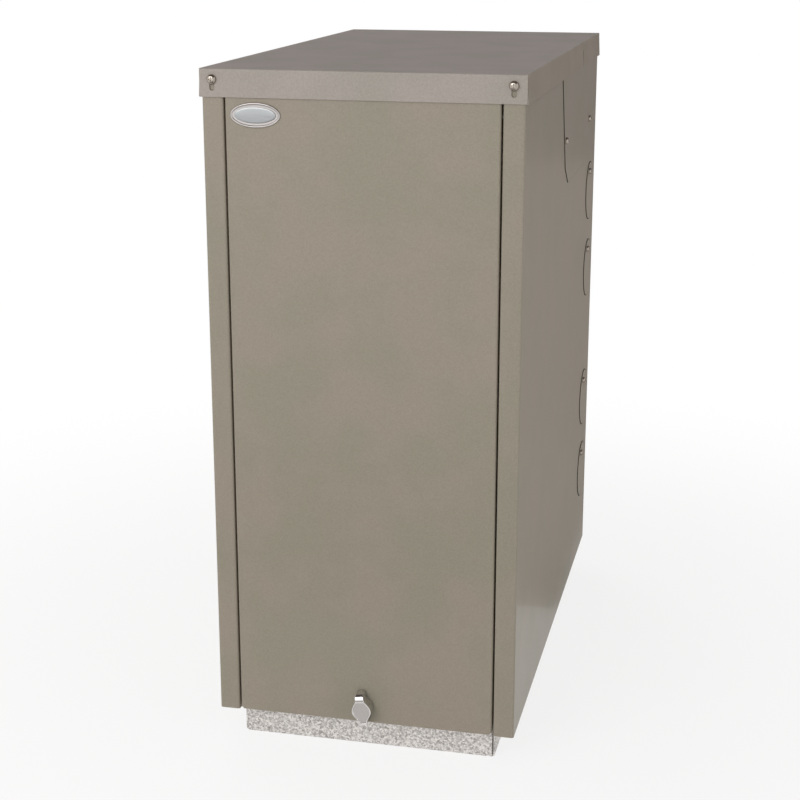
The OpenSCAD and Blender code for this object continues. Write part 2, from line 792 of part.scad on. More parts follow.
// Wing knob: the outline drawn forward, its upper end rounded over, with a recessed face
module lock_knob() {
    rim = 1.5;
    recess = 0.9;
    collar = 2;
    grip = wing_out - collar - seat;
    color(chrome) translate([0, -collar - seat, lock_z]) {
        rotate([0, -wing_lean, 0]) difference() {
            intersection() {
                rotate([90, 0, 0]) linear_extrude(grip) wing_outline();
                wing_side(grip);
            }
            difference() {
                rotate([90, 0, 0]) linear_extrude(grip + over) wing_outline(rim);
                wing_side(grip, recess);
            }
        }
        round_y(-fuse, barrel_l + collar + seat + cam_t + 2.5, spindle_d / 2);
    }
}

// Cam on the end of the spindle; it points sideways when the lock is released
module lock_cam() {
    y0 = barrel_l + seat;
    color(steel) translate([0, 0, lock_z]) difference() {
        union() {
            round_y(y0, y0 + cam_t, cam_w / 2 + 1);
            block([0, cam_l - cam_w / 4], [y0, y0 + cam_t], [-cam_w / 2, cam_w / 2]);
            translate([cam_l - cam_w / 4, 0, 0]) block([-fuse, cam_w / 4], [y0, y0 + cam_t],
                [-cam_w / 2, cam_w / 4]);
        }
        round_y(y0 - over, y0 + cam_t + over, spindle_d / 2);
    }
}

// Heat exchanger

// Two channels across the floor tray that carry the shell
module cradle() {
    x = shell_w / 2 - 10;
    color(dark_steel) for (y = [shell_y0 + 40, shell_y1 - 80]) along_x(-x, x)
        folded([[y, floor_z + 1.5], [y + 40, floor_z + 1.5], [y + 40, shell_z0 - 1.5],
            [y, shell_z0 - 1.5]], 3, 3);
}

module shell_plan(inset) {
    translate([0, (shell_y0 + shell_y1) / 2])
        round_rect(shell_w - 2 * inset, shell_d - 2 * inset, shell_r - inset);
}

// Outer shell of the water jacket, open at the top, with the firebox mouth in its front
module boiler_shell() {
    color(dark_steel) difference() {
        translate([0, 0, shell_z0]) linear_extrude(shell_h) shell_plan(0);
        translate([0, 0, shell_z0 + shell_t]) linear_extrude(shell_h) shell_plan(shell_t);
        block([-mouth_w / 2, mouth_w / 2], [shell_y0 - over, shell_y0 + shell_t + over],
            [mouth_z0, mouth_z0 + mouth_h]);
    }
}

// Firebox: an inner case with its mouth at the front and ledges for the baffles
module firebox() {
    x = fire_w / 2;
    color(dark_steel) {
        difference() {
            block([-x, x], [fire_y0, fire_y1], [fire_z0, shell_z1]);
            block([-x + fire_t, x - fire_t], [fire_y0 + fire_t, fire_y1 - fire_t],
                [fire_z0 + fire_t, shell_z1 + over]);
            block([-mouth_w / 2, mouth_w / 2], [fire_y0 - over, fire_y0 + fire_t + over],
                [mouth_z0, mouth_z0 + mouth_h]);
        }
        for (s = [-1, 1], k = [0:baffle_n - 1]) scale([s, 1, 1])
            block([x - fire_t - 8, x - fire_t + fuse], [fire_y0 + 30, fire_y1 - 30],
                [baffle_z(k) - 6, baffle_z(k)]);
    }
}

function baffle_z(k) = shell_z1 - 24 - k * baffle_gap;

// Steel baffles that rest on the ledges, each turned up at one end, front and rear in turn
module baffles() {
    x = fire_w / 2 - fire_t - 1;
    y0 = fire_y0 + fire_t + 2;
    y1 = fire_y1 - fire_t - 2;
    gas_gap = 40;
    mid = baffle_t / 2;
    color(steel) for (k = [0:baffle_n - 1]) translate([0, 0, baffle_z(k) + mid])
        if (k % 2 == 0) along_x(-x, x) folded([[y0, 0], [y1 - gas_gap, 0], [y1 - gas_gap, 14]], baffle_t);
        else along_x(-x, x) folded([[y0 + gas_gap, 14], [y0 + gas_gap, 0], [y1, 0]], baffle_t);
}

// Plate that closes the water space and leaves the flueway open
module boiler_top_plate() {
    x = fire_w / 2 - fire_t;
    color(dark_steel) difference() {
        translate([0, 0, shell_z1]) linear_extrude(top_t) shell_plan(0);
        block([-x, x], [fire_y0 + fire_t, fire_y1 - fire_t], [shell_z1 - over, top_z + over]);
    }
}

clean_x = fire_w / 2 + 8;
clean_y0 = fire_y0 - 2;
clean_points = [for (sx = [-1, 1], y = [clean_y0 + 12, clean_y0 + clean_d]) [sx * (clean_x - 12), y]];

// Cover over the front half of the flueway, for cleaning the baffles, with a lifting handle
module cleaning_cover() {
    t = 5;
    grip_y = clean_y0 + clean_d / 2 + 6;
    color(dark_steel) {
        difference() {
            block([-clean_x, clean_x], [clean_y0, cond_y0 - 4], [top_z, top_z + t]);
            for (p = clean_points) translate([p.x, p.y, top_z - over]) cylinder(r = 4.2, h = t + 2 * over);
        }
        along_y(grip_y - 5, grip_y + 5) folded([[-40, top_z + t - fuse], [-40, top_z + t + 26],
            [40, top_z + t + 26], [40, top_z + t - fuse]], 4, 6);
    }
}

// Studs and nuts that hold the cleaning cover down
module cleaning_cover_nuts() {
    color(brass) for (p = clean_points) translate([p.x, p.y, top_z + 5]) {
        translate([0, 0, -5]) cylinder(r = 4, h = 20);
        difference() {
            cylinder(d = 13 / cos(30), h = 7, $fn = 6);
            translate([0, 0, -over]) cylinder(r = 3, h = 7 + 2 * over);
        }
    }
}

// A welded water socket with its hexagon transit plug
module water_socket() {
    difference() {
        round_x(0, 20, socket_r);
        round_x(14, 20 + over, socket_r - 4);
    }
    translate([14, 0, 0]) rotate([0, 90, 0]) cylinder(r = socket_r - 4, h = 8);
    translate([22, 0, 0]) rotate([0, 90, 0]) cylinder(d = 20 / cos(30), h = 6, $fn = 6);
}
socket_y = shell_y1 - shell_r - socket_r - 4;
module flow_socket()
    color(brass) translate([shell_w / 2, socket_y, disc_heights[3]]) water_socket();
module return_socket()
    color(brass) translate([shell_w / 2, socket_y, disc_heights[0]]) water_socket();
module drain_plug() {
    color(brass) translate([-shell_w / 2 + shell_r + 14, shell_y0, shell_z0 + 13]) rotate([90, 0, 0]) {
        cylinder(r = 11, h = 8);
        translate([0, 0, 8 - fuse]) cylinder(d = 17 / cos(30), h = 10, $fn = 6);
    }
}

plate_half_w = mouth_w / 2 + plate_margin;
plate_half_h = mouth_h / 2 + plate_margin;
plate_points = [for (sx = [-1, 1], sz = [-1, 1])
    [sx * (plate_half_w - 14), tube_z + sz * (plate_half_h - 14)]];

// Front plate that closes the firebox mouth and carries the burner
module combustion_door() {
    color(dark_steel) difference() {
        along_y(plate_y, shell_y0) translate([0, tube_z])
            round_rect(2 * plate_half_w, 2 * plate_half_h, 12);
        translate([0, 0, tube_z]) round_y(plate_y - over, shell_y0 + over, tube_r + 1);
        for (p = plate_points) translate([p.x, 0, p.y]) round_y(plate_y - over, shell_y0 + over, 5.2);
    }
}

// Ceramic block behind the front plate, in the mouth of the firebox
module combustion_door_block() {
    color([0.86, 0.84, 0.78]) difference() {
        block([-mouth_w / 2 + 1, mouth_w / 2 - 1], [shell_y0, shell_y0 + block_d],
            [mouth_z0 + 1, mouth_z0 + mouth_h - 1]);
        translate([0, 0, tube_z]) round_y(shell_y0 - over, shell_y0 + block_d + over, tube_r + 1);
    }
}
module combustion_door_nuts() {
    color(steel) for (p = plate_points) translate([p.x, plate_y, p.y]) rotate([90, 0, 0]) {
        translate([0, 0, -plate_t]) cylinder(r = 5, h = plate_t + 16);
        cylinder(d = 17 / cos(30), h = 8, $fn = 6);
    }
}

// Condenser, flue and drain

// Stainless condenser with pressed upright beads and a socket for the flue spigot
module condenser() {
    bead_n = 6;
    edge_r = 10;
    wall = 3;
    color(steel) {
        difference() {
            translate([0, (cond_y0 + cond_y1) / 2, top_z]) linear_extrude(cond_h)
                round_rect(cond_w, cond_d, edge_r);
            translate([0, (cond_y0 + cond_y1) / 2, top_z - over]) linear_extrude(cond_h - wall + over)
                round_rect(cond_w - 2 * wall, cond_d - 2 * wall, edge_r - wall);
            translate([0, 0, flue_z]) round_y(cond_y1 - 40, cond_y1 + over, sleeve_r + shank_play);
        }
        for (s = [-1, 1], k = [1:bead_n])
            translate([s * (cond_w / 2 - 1), cond_y0 + k * cond_d / (bead_n + 1), top_z + 12])
                cylinder(r = 4, h = cond_h - 24);
        for (k = [1:bead_n])
            translate([-cond_w / 2 + k * cond_w / (bead_n + 1), cond_y0 + 1, top_z + 12])
                cylinder(r = 4, h = cond_h - 24);
    }
}

// Flue spigot from the condenser out through the rear panel: a stop flange on the condenser,
// a thicker sleeve up to the collar, and a free end that takes the flue pipe
module flue_spigot() {
    inside = 12;
    stop = 4;
    step = casing_d + sleeve_end - cond_y1;
    end = casing_d + flue_out - cond_y1;
    bore = flue_r - flue_t;
    color(steel) translate([0, cond_y1, flue_z]) rotate([-90, 0, 0]) rotate_extrude() polygon([
        [bore, -inside], [sleeve_r, -inside], [sleeve_r, 0], [sleeve_r + stop, 0], [sleeve_r + stop, 2],
        [sleeve_r, 2], [sleeve_r, step], [flue_r, step], [flue_r, end], [bore, end]]);
}

// Collar that closes the gap between the spigot and the rear panel
module flue_collar() {
    color(paint) translate([0, casing_d, flue_z]) rotate([-90, 0, 0]) rotate_extrude()
        polygon([[sleeve_r + shank_play, 0], [flue_r + collar_w, 0], [flue_r + collar_w, 1.2],
            [sleeve_r + 5, 2], [sleeve_r + 3, collar_h], [sleeve_r + shank_play, collar_h]]);
}

// Bottle trap on the condenser's drain, with its pipe down to the floor tray
module condensate_trap() {
    x = -(shell_w / 2 + (half_w - sheet_t - shell_w / 2) / 2);
    y = trap_y;
    r = trap_r;
    neck = 8;
    trap_z = shell_z1 - trap_drop;
    color(black) {
        translate([x, y, trap_z]) rotate_extrude() polygon([[0, 0], [r - 4, 0], [r, 4], [r, 62],
            [r + 2, 62], [r + 2, 74], [r, 74], [neck, 82], [0, 82]]);
        translate([x, y, trap_z + 82 - fuse]) cylinder(r = neck, h = top_z + 24 - trap_z - 82 + fuse);
        translate([0, y, top_z + 24]) round_x(x, -cond_w / 2, neck);
        translate([x, y, top_z + 24]) sphere(r = neck);
        translate([x, y, floor_z]) cylinder(r = neck, h = trap_z - floor_z + fuse);
    }
}

// Burner

// Half section of the scroll, which widens from the tongue to the outlet above
function scroll(off) = concat(
    [for (a = [0:9:270]) let(r = scroll_r0 + off + scroll_grow * a / 270) [r * cos(a), -r * sin(a)]],
    [[duct_l, scroll_r1 + off], [duct_l, scroll_r1 - 2 * tube_r - off]]);

module burner_at() translate([0, fan_y, fan_z]) children();

// Cast scroll housing with the air inlet, the motor seat, a lug for each cover screw and a pad on top
module burner_housing() {
    wall_x = house_w / 2;
    color(cast) burner_at() {
        difference() {
            union() {
                along_x(-wall_x, wall_x) polygon(scroll(cast_t));
                for (a = [40, 130, 215, 300]) rotate([a, 0, 0])
                    translate([0, scroll_r0 + cast_t + 9, 0]) round_x(-wall_x, wall_x, 7);
                block([-box_w / 2 + 6, box_w / 2 - 6], [-24, 46],
                    [scroll_r1 - 6, scroll_r1 + cast_t]);
            }
            along_x(-cavity_w / 2, cavity_w / 2) polygon(scroll(0));
            along_x(-cavity_w / 2, cavity_w / 2)
                translate([duct_l - fuse, scroll_r1 - 2 * tube_r]) square([2 * over, 2 * tube_r]);
            round_x(0, wall_x + over, inlet_r);
            round_x(-wall_x - over, 0, shaft_r + 8);
        }
    }
}

// One forward-curved fan blade as an arc-shaped outline
module blade() {
    arc_r = 13;
    sweep = 66;
    t = 0.9;
    inner = fan_r - 14;
    points = [for (k = [0:5]) let(a = -sweep / 2 + sweep * k / 5) [sin(a), cos(a)]];
    translate([inner + 7, -arc_r + 2]) rotate(18) polygon(concat(
        [for (p = points) p * arc_r], [for (p = reversed(points)) p * (arc_r - t)]));
}

// Fan wheel: back plate, ring of blades, rim, hub and the shaft through to the pump
module fan_wheel() {
    x0 = -fan_w / 2;
    x1 = fan_w / 2;
    color(steel) burner_at() {
        difference() {
            union() {
                round_x(x0, x0 + 1.5, fan_r);
                round_x(x0, x0 + 22, 15);
            }
            for (k = [0:4]) rotate([k * 72, 0, 0]) translate([0, 30, 0]) round_x(x0 - over, x0 + 2, 6);
        }
        for (k = [0:blade_n - 1]) rotate([k * 360 / blade_n, 0, 0])
            along_x(x0 + 1, x1 - 1) blade();
        difference() {
            round_x(x1 - 2, x1, fan_r);
            round_x(x1 - 3, x1 + over, fan_r - 13);
        }
        round_x(-house_w / 2 - 24, pump_x0 - 1, shaft_r);
        round_x(pump_x0 - 13, pump_x0 - 1, shaft_r + 4);
    }
}

// Motor with cooling ribs, an end bell and a wiring box
module burner_motor() {
    x1 = -house_w / 2;
    x0 = x1 - motor_l;
    rib_n = 22;
    color(dark_steel) burner_at() difference() {
        union() {
            round_x(x1 - 8, x1, motor_r + 6);
            round_x(x0 + 14, x1, motor_r - 3);
            translate([x0, 0, 0]) rotate([0, 90, 0]) rotate_extrude() polygon([[0, 0],
                [motor_r * 0.55, 0], [motor_r * 0.85, 4], [motor_r, 12], [motor_r, 18], [0, 18]]);
            for (k = [0:rib_n - 1]) rotate([k * 360 / rib_n, 0, 0])
                block([x0 + 16, x1 - 6], [motor_r - 5, motor_r], [-1, 1]);
            block([x0 + 26, x1 - 16], [-22, 22], [motor_r - 8, motor_r + 16]);
        }
        round_x(x1 - 26, x1 + over, shaft_r + shaft_play);
    }
}

// Ring and plate on four pillars that hold the pump clear of the air inlet
module pump_bracket() {
    pillar_at = inlet_r + 5;
    color(cast) burner_at() {
        difference() {
            round_x(bracket_x, bracket_x + 3, inlet_r + 10);
            round_x(bracket_x - over, bracket_x + 3 + over, inlet_r);
        }
        for (k = [0:3]) rotate([45 + 90 * k, 0, 0]) translate([0, pillar_at, 0])
            round_x(bracket_x + 2, pump_x0, 4);
        difference() {
            union() {
                for (a = [45, 135]) rotate([a, 0, 0])
                    block([pump_x0 - 4, pump_x0], [-pillar_at, pillar_at], [-7, 7]);
                round_x(pump_x0 - 4, pump_x0, 26);
            }
            round_x(pump_x0 - 4 - over, pump_x0 + over, shaft_r + 6);
        }
    }
}

// Oil pump: a square body with two caps, a pressure screw and a solenoid coil on top
module oil_pump() {
    s = pump_s / 2;
    color(brass) burner_at() translate([pump_x0, 0, 0]) {
        along_x(0, pump_s) round_rect(pump_s, pump_s, 6);
        round_x(pump_s - fuse, pump_s + 8, s * 0.7);
        translate([0, 0, s - fuse]) translate([s, 0, 0]) cylinder(r = 9, h = 10);
        translate([s, 0, s + 8]) linear_extrude(26) round_rect(30, 30, 4);
        translate([s, 0, s + 34 - fuse]) cylinder(d = 12 / cos(30), h = 5, $fn = 6);
        translate([s, -s + fuse, 0]) round_y(-10, 0, oil_r + 4);
        translate([s * 0.5, 0, -s + fuse]) rotate([180, 0, 0]) cylinder(r = 7, h = 9);
    }
}

// Depth of a reset button behind the rim of its well, and the room left behind it
button_in = 9;
well_spare = 2;
well_depth = button_in + button_travel + well_spare;
well_rim = 3;

// A reset button with a soft edge, the rim of its well at y = 0; it stands out by its travel and a little more
module reset_button() {
    out = button_travel + 1.2;
    rotate([90, 0, 0]) rotate_extrude() polygon([[0, -button_in], [button_d / 2, -button_in],
        [button_d / 2, out], [button_d / 2 - 1, out + 0.8], [0, out + 1.2]]);
}

// Control box of the burner on the pad, with a well for its reset button
module burner_control_box() {
    color(black) translate([0, box_y, box_z]) difference() {
        union() {
            translate([0, box_d / 2, 0]) linear_extrude(box_h) round_rect(box_w, box_d, 6);
            translate([0, 0, box_h * 0.55]) round_y(-well_rim, fuse, button_d / 2 + 5);
            for (x = [-24, 24]) translate([x, 0, 12]) round_y(-8, 0, 6);
        }
        translate([0, 0, box_h * 0.55])
            round_y(-well_rim - over, well_depth - well_rim, button_d / 2 + control_play);
    }
}
module burner_reset_button()
    color(red) translate([0, box_y - well_rim, box_z + box_h * 0.55]) reset_button();

// Flange and blast tube through the front plate into the firebox
module burner_flange() {
    color(cast) difference() {
        along_y(plate_y - flange_t, plate_y) translate([0, tube_z]) round_rect(2 * flange_half_w, 2 * flange_half_h, 10);
        translate([0, 0, tube_z]) round_y(plate_y - flange_t - over, plate_y + over, tube_r + 0.2);
    }
}
module blast_tube() {
    y0 = plate_y - flange_t;
    color(steel) translate([0, 0, tube_z]) difference() {
        round_y(y0, shell_y0 + tube_in, tube_r);
        round_y(y0 - over, shell_y0 + tube_in + over, tube_r - tube_t);
    }
}

// Oil line

// Isolating valve on a riser from the floor tray
module oil_valve() {
    color(brass) translate([oil_x, valve_back, 0]) {
        translate([0, 0, floor_z]) cylinder(r = oil_r, h = valve_up - 16);
        translate([0, 0, floor_z]) cylinder(r = oil_r + 7, h = 3);
        translate([0, 0, valve_z - 24]) cylinder(d = 20 / cos(30), h = 12, $fn = 6);
        translate([0, 0, valve_z - 13]) cylinder(r = 13, h = 26);
        translate([0, 0, valve_z + 12]) cylinder(d = 20 / cos(30), h = 12, $fn = 6);
        translate([0, 0, valve_z]) difference() {
            round_y(-20, 0, 9);
            round_y(-20 - over, -14, 3.5 + spindle_play);
        }
    }
}

// Lever of the isolating valve; it stands along the pipe when the valve is open
module valve_lever() {
    color(red) translate([oil_x, valve_back - 20, valve_z]) {
        round_y(-5, 5, 3.5);
        round_y(-5, -seat, 9);
        block([-6, 6], [-4 - seat, -seat - 1], [0, 48]);
        translate([0, 0, 48]) round_y(-4 - seat, -seat - 1, 6);
        translate([0, 0, 26]) round_y(-8, -seat - 1, 7);
    }
}

// Copper oil pipe from the valve up and back to the pump
module oil_pipe() {
    z0 = valve_z + 24;
    y1 = fan_y - pump_s / 2 - 10 + fuse;
    color(copper) translate([oil_x, 0, 0]) {
        translate([0, valve_back, z0]) cylinder(r = oil_r, h = fan_z - oil_bend - z0);
        translate([0, valve_back + oil_bend, fan_z - oil_bend]) rotate([0, 0, 90]) rotate([90, 0, 0])
            rotate([0, 0, 90]) rotate_extrude(angle = 90) translate([oil_bend, 0]) circle(oil_r);
        translate([0, 0, fan_z]) round_y(valve_back + oil_bend, y1, oil_r);
        translate([0, y1 - 14, fan_z]) rotate([-90, 0, 0]) cylinder(d = 16 / cos(30), h = 12, $fn = 6);
    }
}

// Controls
dial_x = -control_gap * 1.15;
button_x = control_gap * 1.05;
lamp_x = [control_gap * 1.45, control_gap * 1.75];
rocker_in = 6;
rocker_pin_r = 1.5;
rocker_pin_l = 2;

// Control box under the front rail, with a scale ring round the knob and wells for the controls
module control_box() {
    y0 = panel_back;
    x = panel_w / 2;
    r = 3;
    mid = [y0 + panel_d / 2, control_z];
    color(zinc) difference() {
        union() {
            difference() {
                along_x(-x, x) translate(mid) round_rect(panel_d, panel_h, r);
                along_x(-x + sheet_t, x - sheet_t) translate([mid.x + r, mid.y])
                    square([panel_d - 2 * sheet_t + 2 * r, panel_h - 2 * sheet_t], center = true);
            }
            translate([dial_x, 0, control_z]) {
                round_y(y0 - 1, y0 + fuse, dial_d / 2 + 6);
                round_y(y0, y0 + 18, 8);
            }
            translate([button_x, 0, control_z]) {
                round_y(y0 - well_rim, y0 + fuse, button_d / 2 + 4);
                round_y(y0, y0 + well_depth - well_rim + 2, button_d / 2 + 3);
            }
            for (lx = lamp_x) translate([lx, 0, control_z]) round_y(y0, y0 + 10, 6);
            block([-rocker_w / 2 - 3, rocker_w / 2 + 3], [y0, y0 + 18],
                [control_z - rocker_h / 2 - 4, control_z + rocker_h / 2 + 4]);
            for (k = [-1, 1]) translate([k * panel_w / 4, y0 + 60, panel_z0 - 10])
                cylinder(r = 9, h = 10 + fuse);
        }
        translate([dial_x, 0, control_z]) round_y(y0 - 2, y0 + 16, 3 + spindle_play);
        translate([button_x, 0, control_z])
            round_y(y0 - well_rim - over, y0 + well_depth - well_rim, button_d / 2 + control_play);
        translate([0, 0, control_z]) block([-rocker_w / 2 - control_play, rocker_w / 2 + control_play],
            [y0 - over, y0 + 16], [-rocker_h / 2 - 1, rocker_h / 2 + 1]);
        translate([0, y0 + rocker_in, control_z]) round_x(-rocker_w / 2 - rocker_pin_l - seat,
            rocker_w / 2 + rocker_pin_l + seat, rocker_pin_r + spindle_play);
        for (lx = lamp_x) translate([lx, 0, control_z]) round_y(y0 - over, y0 + 8, 4);
    }
}

// Knob with a fluted grip, a skirt and a pointer
module thermostat_knob() {
    flute_n = 18;
    skirt = 3;
    grip_r = dial_d / 2 - 4.5;
    color(black) translate([dial_x, panel_back - 1 - seat, control_z]) {
        difference() {
            rotate([90, 0, 0]) rotate_extrude() polygon([[0, 0], [dial_d / 2, 0], [dial_d / 2, skirt - 0.8],
                [dial_d / 2 - 0.8, skirt], [grip_r, skirt], [grip_r, dial_h - 1.6], [grip_r - 1.6, dial_h],
                [0, dial_h]]);
            for (k = [0:flute_n - 1]) rotate([0, (k + 0.5) * 360 / flute_n, 0])
                translate([grip_r + 0.7, 0, 0]) round_y(-dial_h - over, -skirt - 1.2, 1.7);
        }
        round_y(-fuse, 14, 3);
        block([-1.2, 1.2], [-dial_h - 0.8, -dial_h + 1], [2, grip_r - 3]);
    }
}

// Rocker that tips about two pins behind the face; its upper half is pressed in at rest
module rocker_switch() {
    r = 4;
    w = rocker_w / 2;
    h = rocker_h / 2;
    color(black) translate([0, panel_back + rocker_in, control_z]) rotate([-rocker_tilt, 0, 0]) {
        along_x(-w, w) polygon([[-7, -h + 1], [-5.6, 0], [-7, h - 1], [-1, h - 0.6], [5, r],
            [5, -r], [-1, -h + 0.6]]);
        round_x(-w - rocker_pin_l, w + rocker_pin_l, rocker_pin_r);
    }
}

// Overheat reset button
module overheat_button()
    color(red) translate([button_x, panel_back - well_rim, control_z]) reset_button();

// Two indicator lamps
module indicator_lamps() {
    color("orange") for (lx = lamp_x) translate([lx, panel_back, control_z]) rotate([90, 0, 0])
        rotate_extrude() polygon([[0, -7], [3.9, -7], [3.9, 0], [5, 0], [5, 1], [3.6, 2.6], [0, 3.4]]);
}

in_frame() {
    plinth();
    floor_tray();
    left_side_panel();
    right_side_panel();
    rear_panel();
    lid();
    front_top_rail();
    hook_pegs();
    left_flue_cover();
    right_flue_cover();
    left_blanking_discs();
    right_blanking_discs();
    disc_screws();
    flue_cover_screws();
    lid_screws();
    rear_panel_screws();
    left_foam();
    right_foam();
    lid_foam();
    door_panel();
    door_foam();
    badge_plate();
    lock_barrel();
    lock_nut();
    lock_knob();
    lock_cam();
    cradle();
    boiler_shell();
    firebox();
    boiler_top_plate();
    baffles();
    cleaning_cover();
    cleaning_cover_nuts();
    flow_socket();
    return_socket();
    drain_plug();
    combustion_door();
    combustion_door_block();
    combustion_door_nuts();
    condenser();
    flue_spigot();
    flue_collar();
    condensate_trap();
    blast_tube();
    burner_flange();
    burner_housing();
    fan_wheel();
    burner_motor();
    pump_bracket();
    oil_pump();
    burner_control_box();
    burner_reset_button();
    oil_valve();
    valve_lever();
    oil_pipe();
    control_box();
    thermostat_knob();
    rocker_switch();
    overheat_button();
    indicator_lamps();
}
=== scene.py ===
"""Looks for the outdoor oil boiler: finishes, wing lock, badge, dark beads of painted shadow round the side
plates, and the studio.
"""

import json
import logging
import math
from collections.abc import Sequence
from dataclasses import dataclass
from enum import Enum
from typing import Any, ClassVar

import bmesh
import bpy
from mathutils import Matrix, Vector

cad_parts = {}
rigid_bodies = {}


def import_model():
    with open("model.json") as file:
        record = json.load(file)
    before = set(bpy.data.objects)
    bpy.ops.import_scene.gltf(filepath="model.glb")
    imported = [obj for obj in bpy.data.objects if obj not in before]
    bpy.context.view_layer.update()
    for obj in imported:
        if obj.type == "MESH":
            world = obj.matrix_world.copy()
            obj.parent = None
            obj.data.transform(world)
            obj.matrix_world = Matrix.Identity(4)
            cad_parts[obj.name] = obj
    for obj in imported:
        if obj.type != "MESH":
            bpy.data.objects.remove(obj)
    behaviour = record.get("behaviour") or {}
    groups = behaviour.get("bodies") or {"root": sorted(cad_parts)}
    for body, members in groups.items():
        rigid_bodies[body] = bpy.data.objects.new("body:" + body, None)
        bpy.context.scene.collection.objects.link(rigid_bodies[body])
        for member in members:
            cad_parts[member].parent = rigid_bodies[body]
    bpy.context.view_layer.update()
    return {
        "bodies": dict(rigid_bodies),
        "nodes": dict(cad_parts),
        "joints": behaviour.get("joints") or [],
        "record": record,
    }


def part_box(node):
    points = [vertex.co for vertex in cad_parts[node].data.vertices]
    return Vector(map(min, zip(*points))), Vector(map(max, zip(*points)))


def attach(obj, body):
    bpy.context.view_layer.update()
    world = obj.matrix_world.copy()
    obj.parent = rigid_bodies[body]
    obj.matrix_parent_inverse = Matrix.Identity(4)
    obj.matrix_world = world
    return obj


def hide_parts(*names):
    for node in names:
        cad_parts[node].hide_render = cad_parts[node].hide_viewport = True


MM = 0.001
LOG = logging.getLogger("oil_boiler")

Point = tuple[float, float, float]
Colour = tuple[float, float, float, float]


class Body(Enum):
    """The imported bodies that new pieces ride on."""

    CASING = "casing"
    DOOR = "door"
    LOCK = "lock"


class Slot(Enum):
    """The record's material slots."""

    POWDER_COAT = "powder_coat"
    ZINC = "zinc_coated_steel"
    CHROME = "chrome"
    BADGE = "badge_metal"
    SCREWS = "bright_screws"
    BARE_STEEL = "bare_steel"
    STAINLESS = "stainless_steel"
    STOVE_PAINT = "boiler_steel"
    FOIL_FOAM = "foil_foam"
    BRASS = "brass"
    CERAMIC = "ceramic_fibre"
    CAST = "cast_aluminium"
    ENAMEL = "motor_enamel"
    BLACK_PLASTIC = "black_plastic"
    RED_PLASTIC = "red_plastic"
    COPPER = "copper"
    LENS = "lamp_plastic"


def linear(code: str) -> Colour:
    """Turns an sRGB hex code into the linear colour that a shader socket takes.

    Args:
        code: six hex digits after a hash, such as "#989182".

    Returns:
        Linear red, green, blue, and an alpha of 1.
    """
    parts = [int(code[k:k + 2], 16) / 255 for k in (1, 3, 5)]
    red, green, blue = (p / 12.92 if p <= 0.04045 else ((p + 0.055) / 1.055) ** 2.4 for p in parts)
    return red, green, blue, 1.0


def add_node(tree: bpy.types.NodeTree, kind: str, inputs: dict[str | int, Any] | None = None,
             **settings: Any) -> bpy.types.Node:
    """Adds a node with its settings and its inputs.

    Args:
        tree: the node tree that gets it.
        kind: Blender's name for the type of node.
        inputs: a value, or an output socket to link, for each input by name or number.
        **settings: values for the node's own properties.

    Returns:
        The new node.
    """
    node = tree.nodes.new(kind)
    for name, value in settings.items():
        setattr(node, name, value)
    for name, value in (inputs or {}).items():
        if isinstance(value, bpy.types.NodeSocket):
            tree.links.new(value, node.inputs[name])
        else:
            node.inputs[name].default_value = value
    return node


def pattern(tree: bpy.types.NodeTree, kind: str, size_mm: float,
            inputs: dict[str | int, Any] | None = None, stretch: Point = (1.0, 1.0, 1.0),
            **settings: Any) -> bpy.types.Node:
    """Adds a texture whose features have a real size, laid on the object's own coordinates.

    Args:
        tree: the material's node tree.
        kind: Blender's name for the texture node.
        size_mm: the size of one feature, in millimetres.
        inputs: further inputs of the texture.
        stretch: how many times finer the features are along X, Y and Z.
        **settings: values for the texture's own properties.

    Returns:
        The texture node.
    """
    place = add_node(tree, "ShaderNodeTexCoord")
    scale = tuple(s / (size_mm * MM) for s in stretch)
    mapped = add_node(tree, "ShaderNodeMapping", {"Vector": place.outputs["Object"], "Scale": scale})
    inputs = {"Vector": mapped.outputs["Vector"], "Scale": 1.0, **(inputs or {})}
    return add_node(tree, kind, inputs, **settings)


def looked_at(tree: bpy.types.NodeTree) -> bpy.types.NodeSocket:
    """Adds the test for rays that show the background.

    Args:
        tree: the node tree of a stage material or of the world.

    Returns:
        An output that is 1 for camera, glossy and transmission rays, and 0 for the light itself.
    """
    path = add_node(tree, "ShaderNodeLightPath")
    shiny = add_node(tree, "ShaderNodeMath", {
        0: path.outputs["Is Camera Ray"], 1: path.outputs["Is Glossy Ray"]}, operation="MAXIMUM")
    seen = add_node(tree, "ShaderNodeMath", {
        0: shiny.outputs["Value"], 1: path.outputs["Is Transmission Ray"]}, operation="MAXIMUM")
    return seen.outputs["Value"]


@dataclass(frozen=True)
class Finish:
    """One finish of the object. A subclass adds its pattern in dress()."""

    name: ClassVar[str] = "Finish"
    tone: ClassVar[str] = "#808080"
    metallic: ClassVar[float] = 0.0
    roughness: ClassVar[float] = 0.5

    def material(self) -> bpy.types.Material:
        """Makes the material the first time it is asked for.

        Returns:
            The finish's material.
        """
        found = bpy.data.materials.get(self.name)
        if found:
            return found
        made = bpy.data.materials.new(self.name)
        made.use_nodes = True
        tree = made.node_tree
        tree.nodes.clear()
        shader = add_node(tree, "ShaderNodeBsdfPrincipled", {
            "Base Color": linear(self.tone), "Metallic": self.metallic, "Roughness": self.roughness})
        add_node(tree, "ShaderNodeOutputMaterial", {"Surface": shader.outputs["BSDF"]})
        self.dress(tree, shader)
        return made

    def dress(self, tree: bpy.types.NodeTree, shader: bpy.types.Node) -> None:
        """Adds the finish's pattern to its shader; a plain finish adds none.

        Args:
            tree: the material's node tree.
            shader: its Principled node.
        """


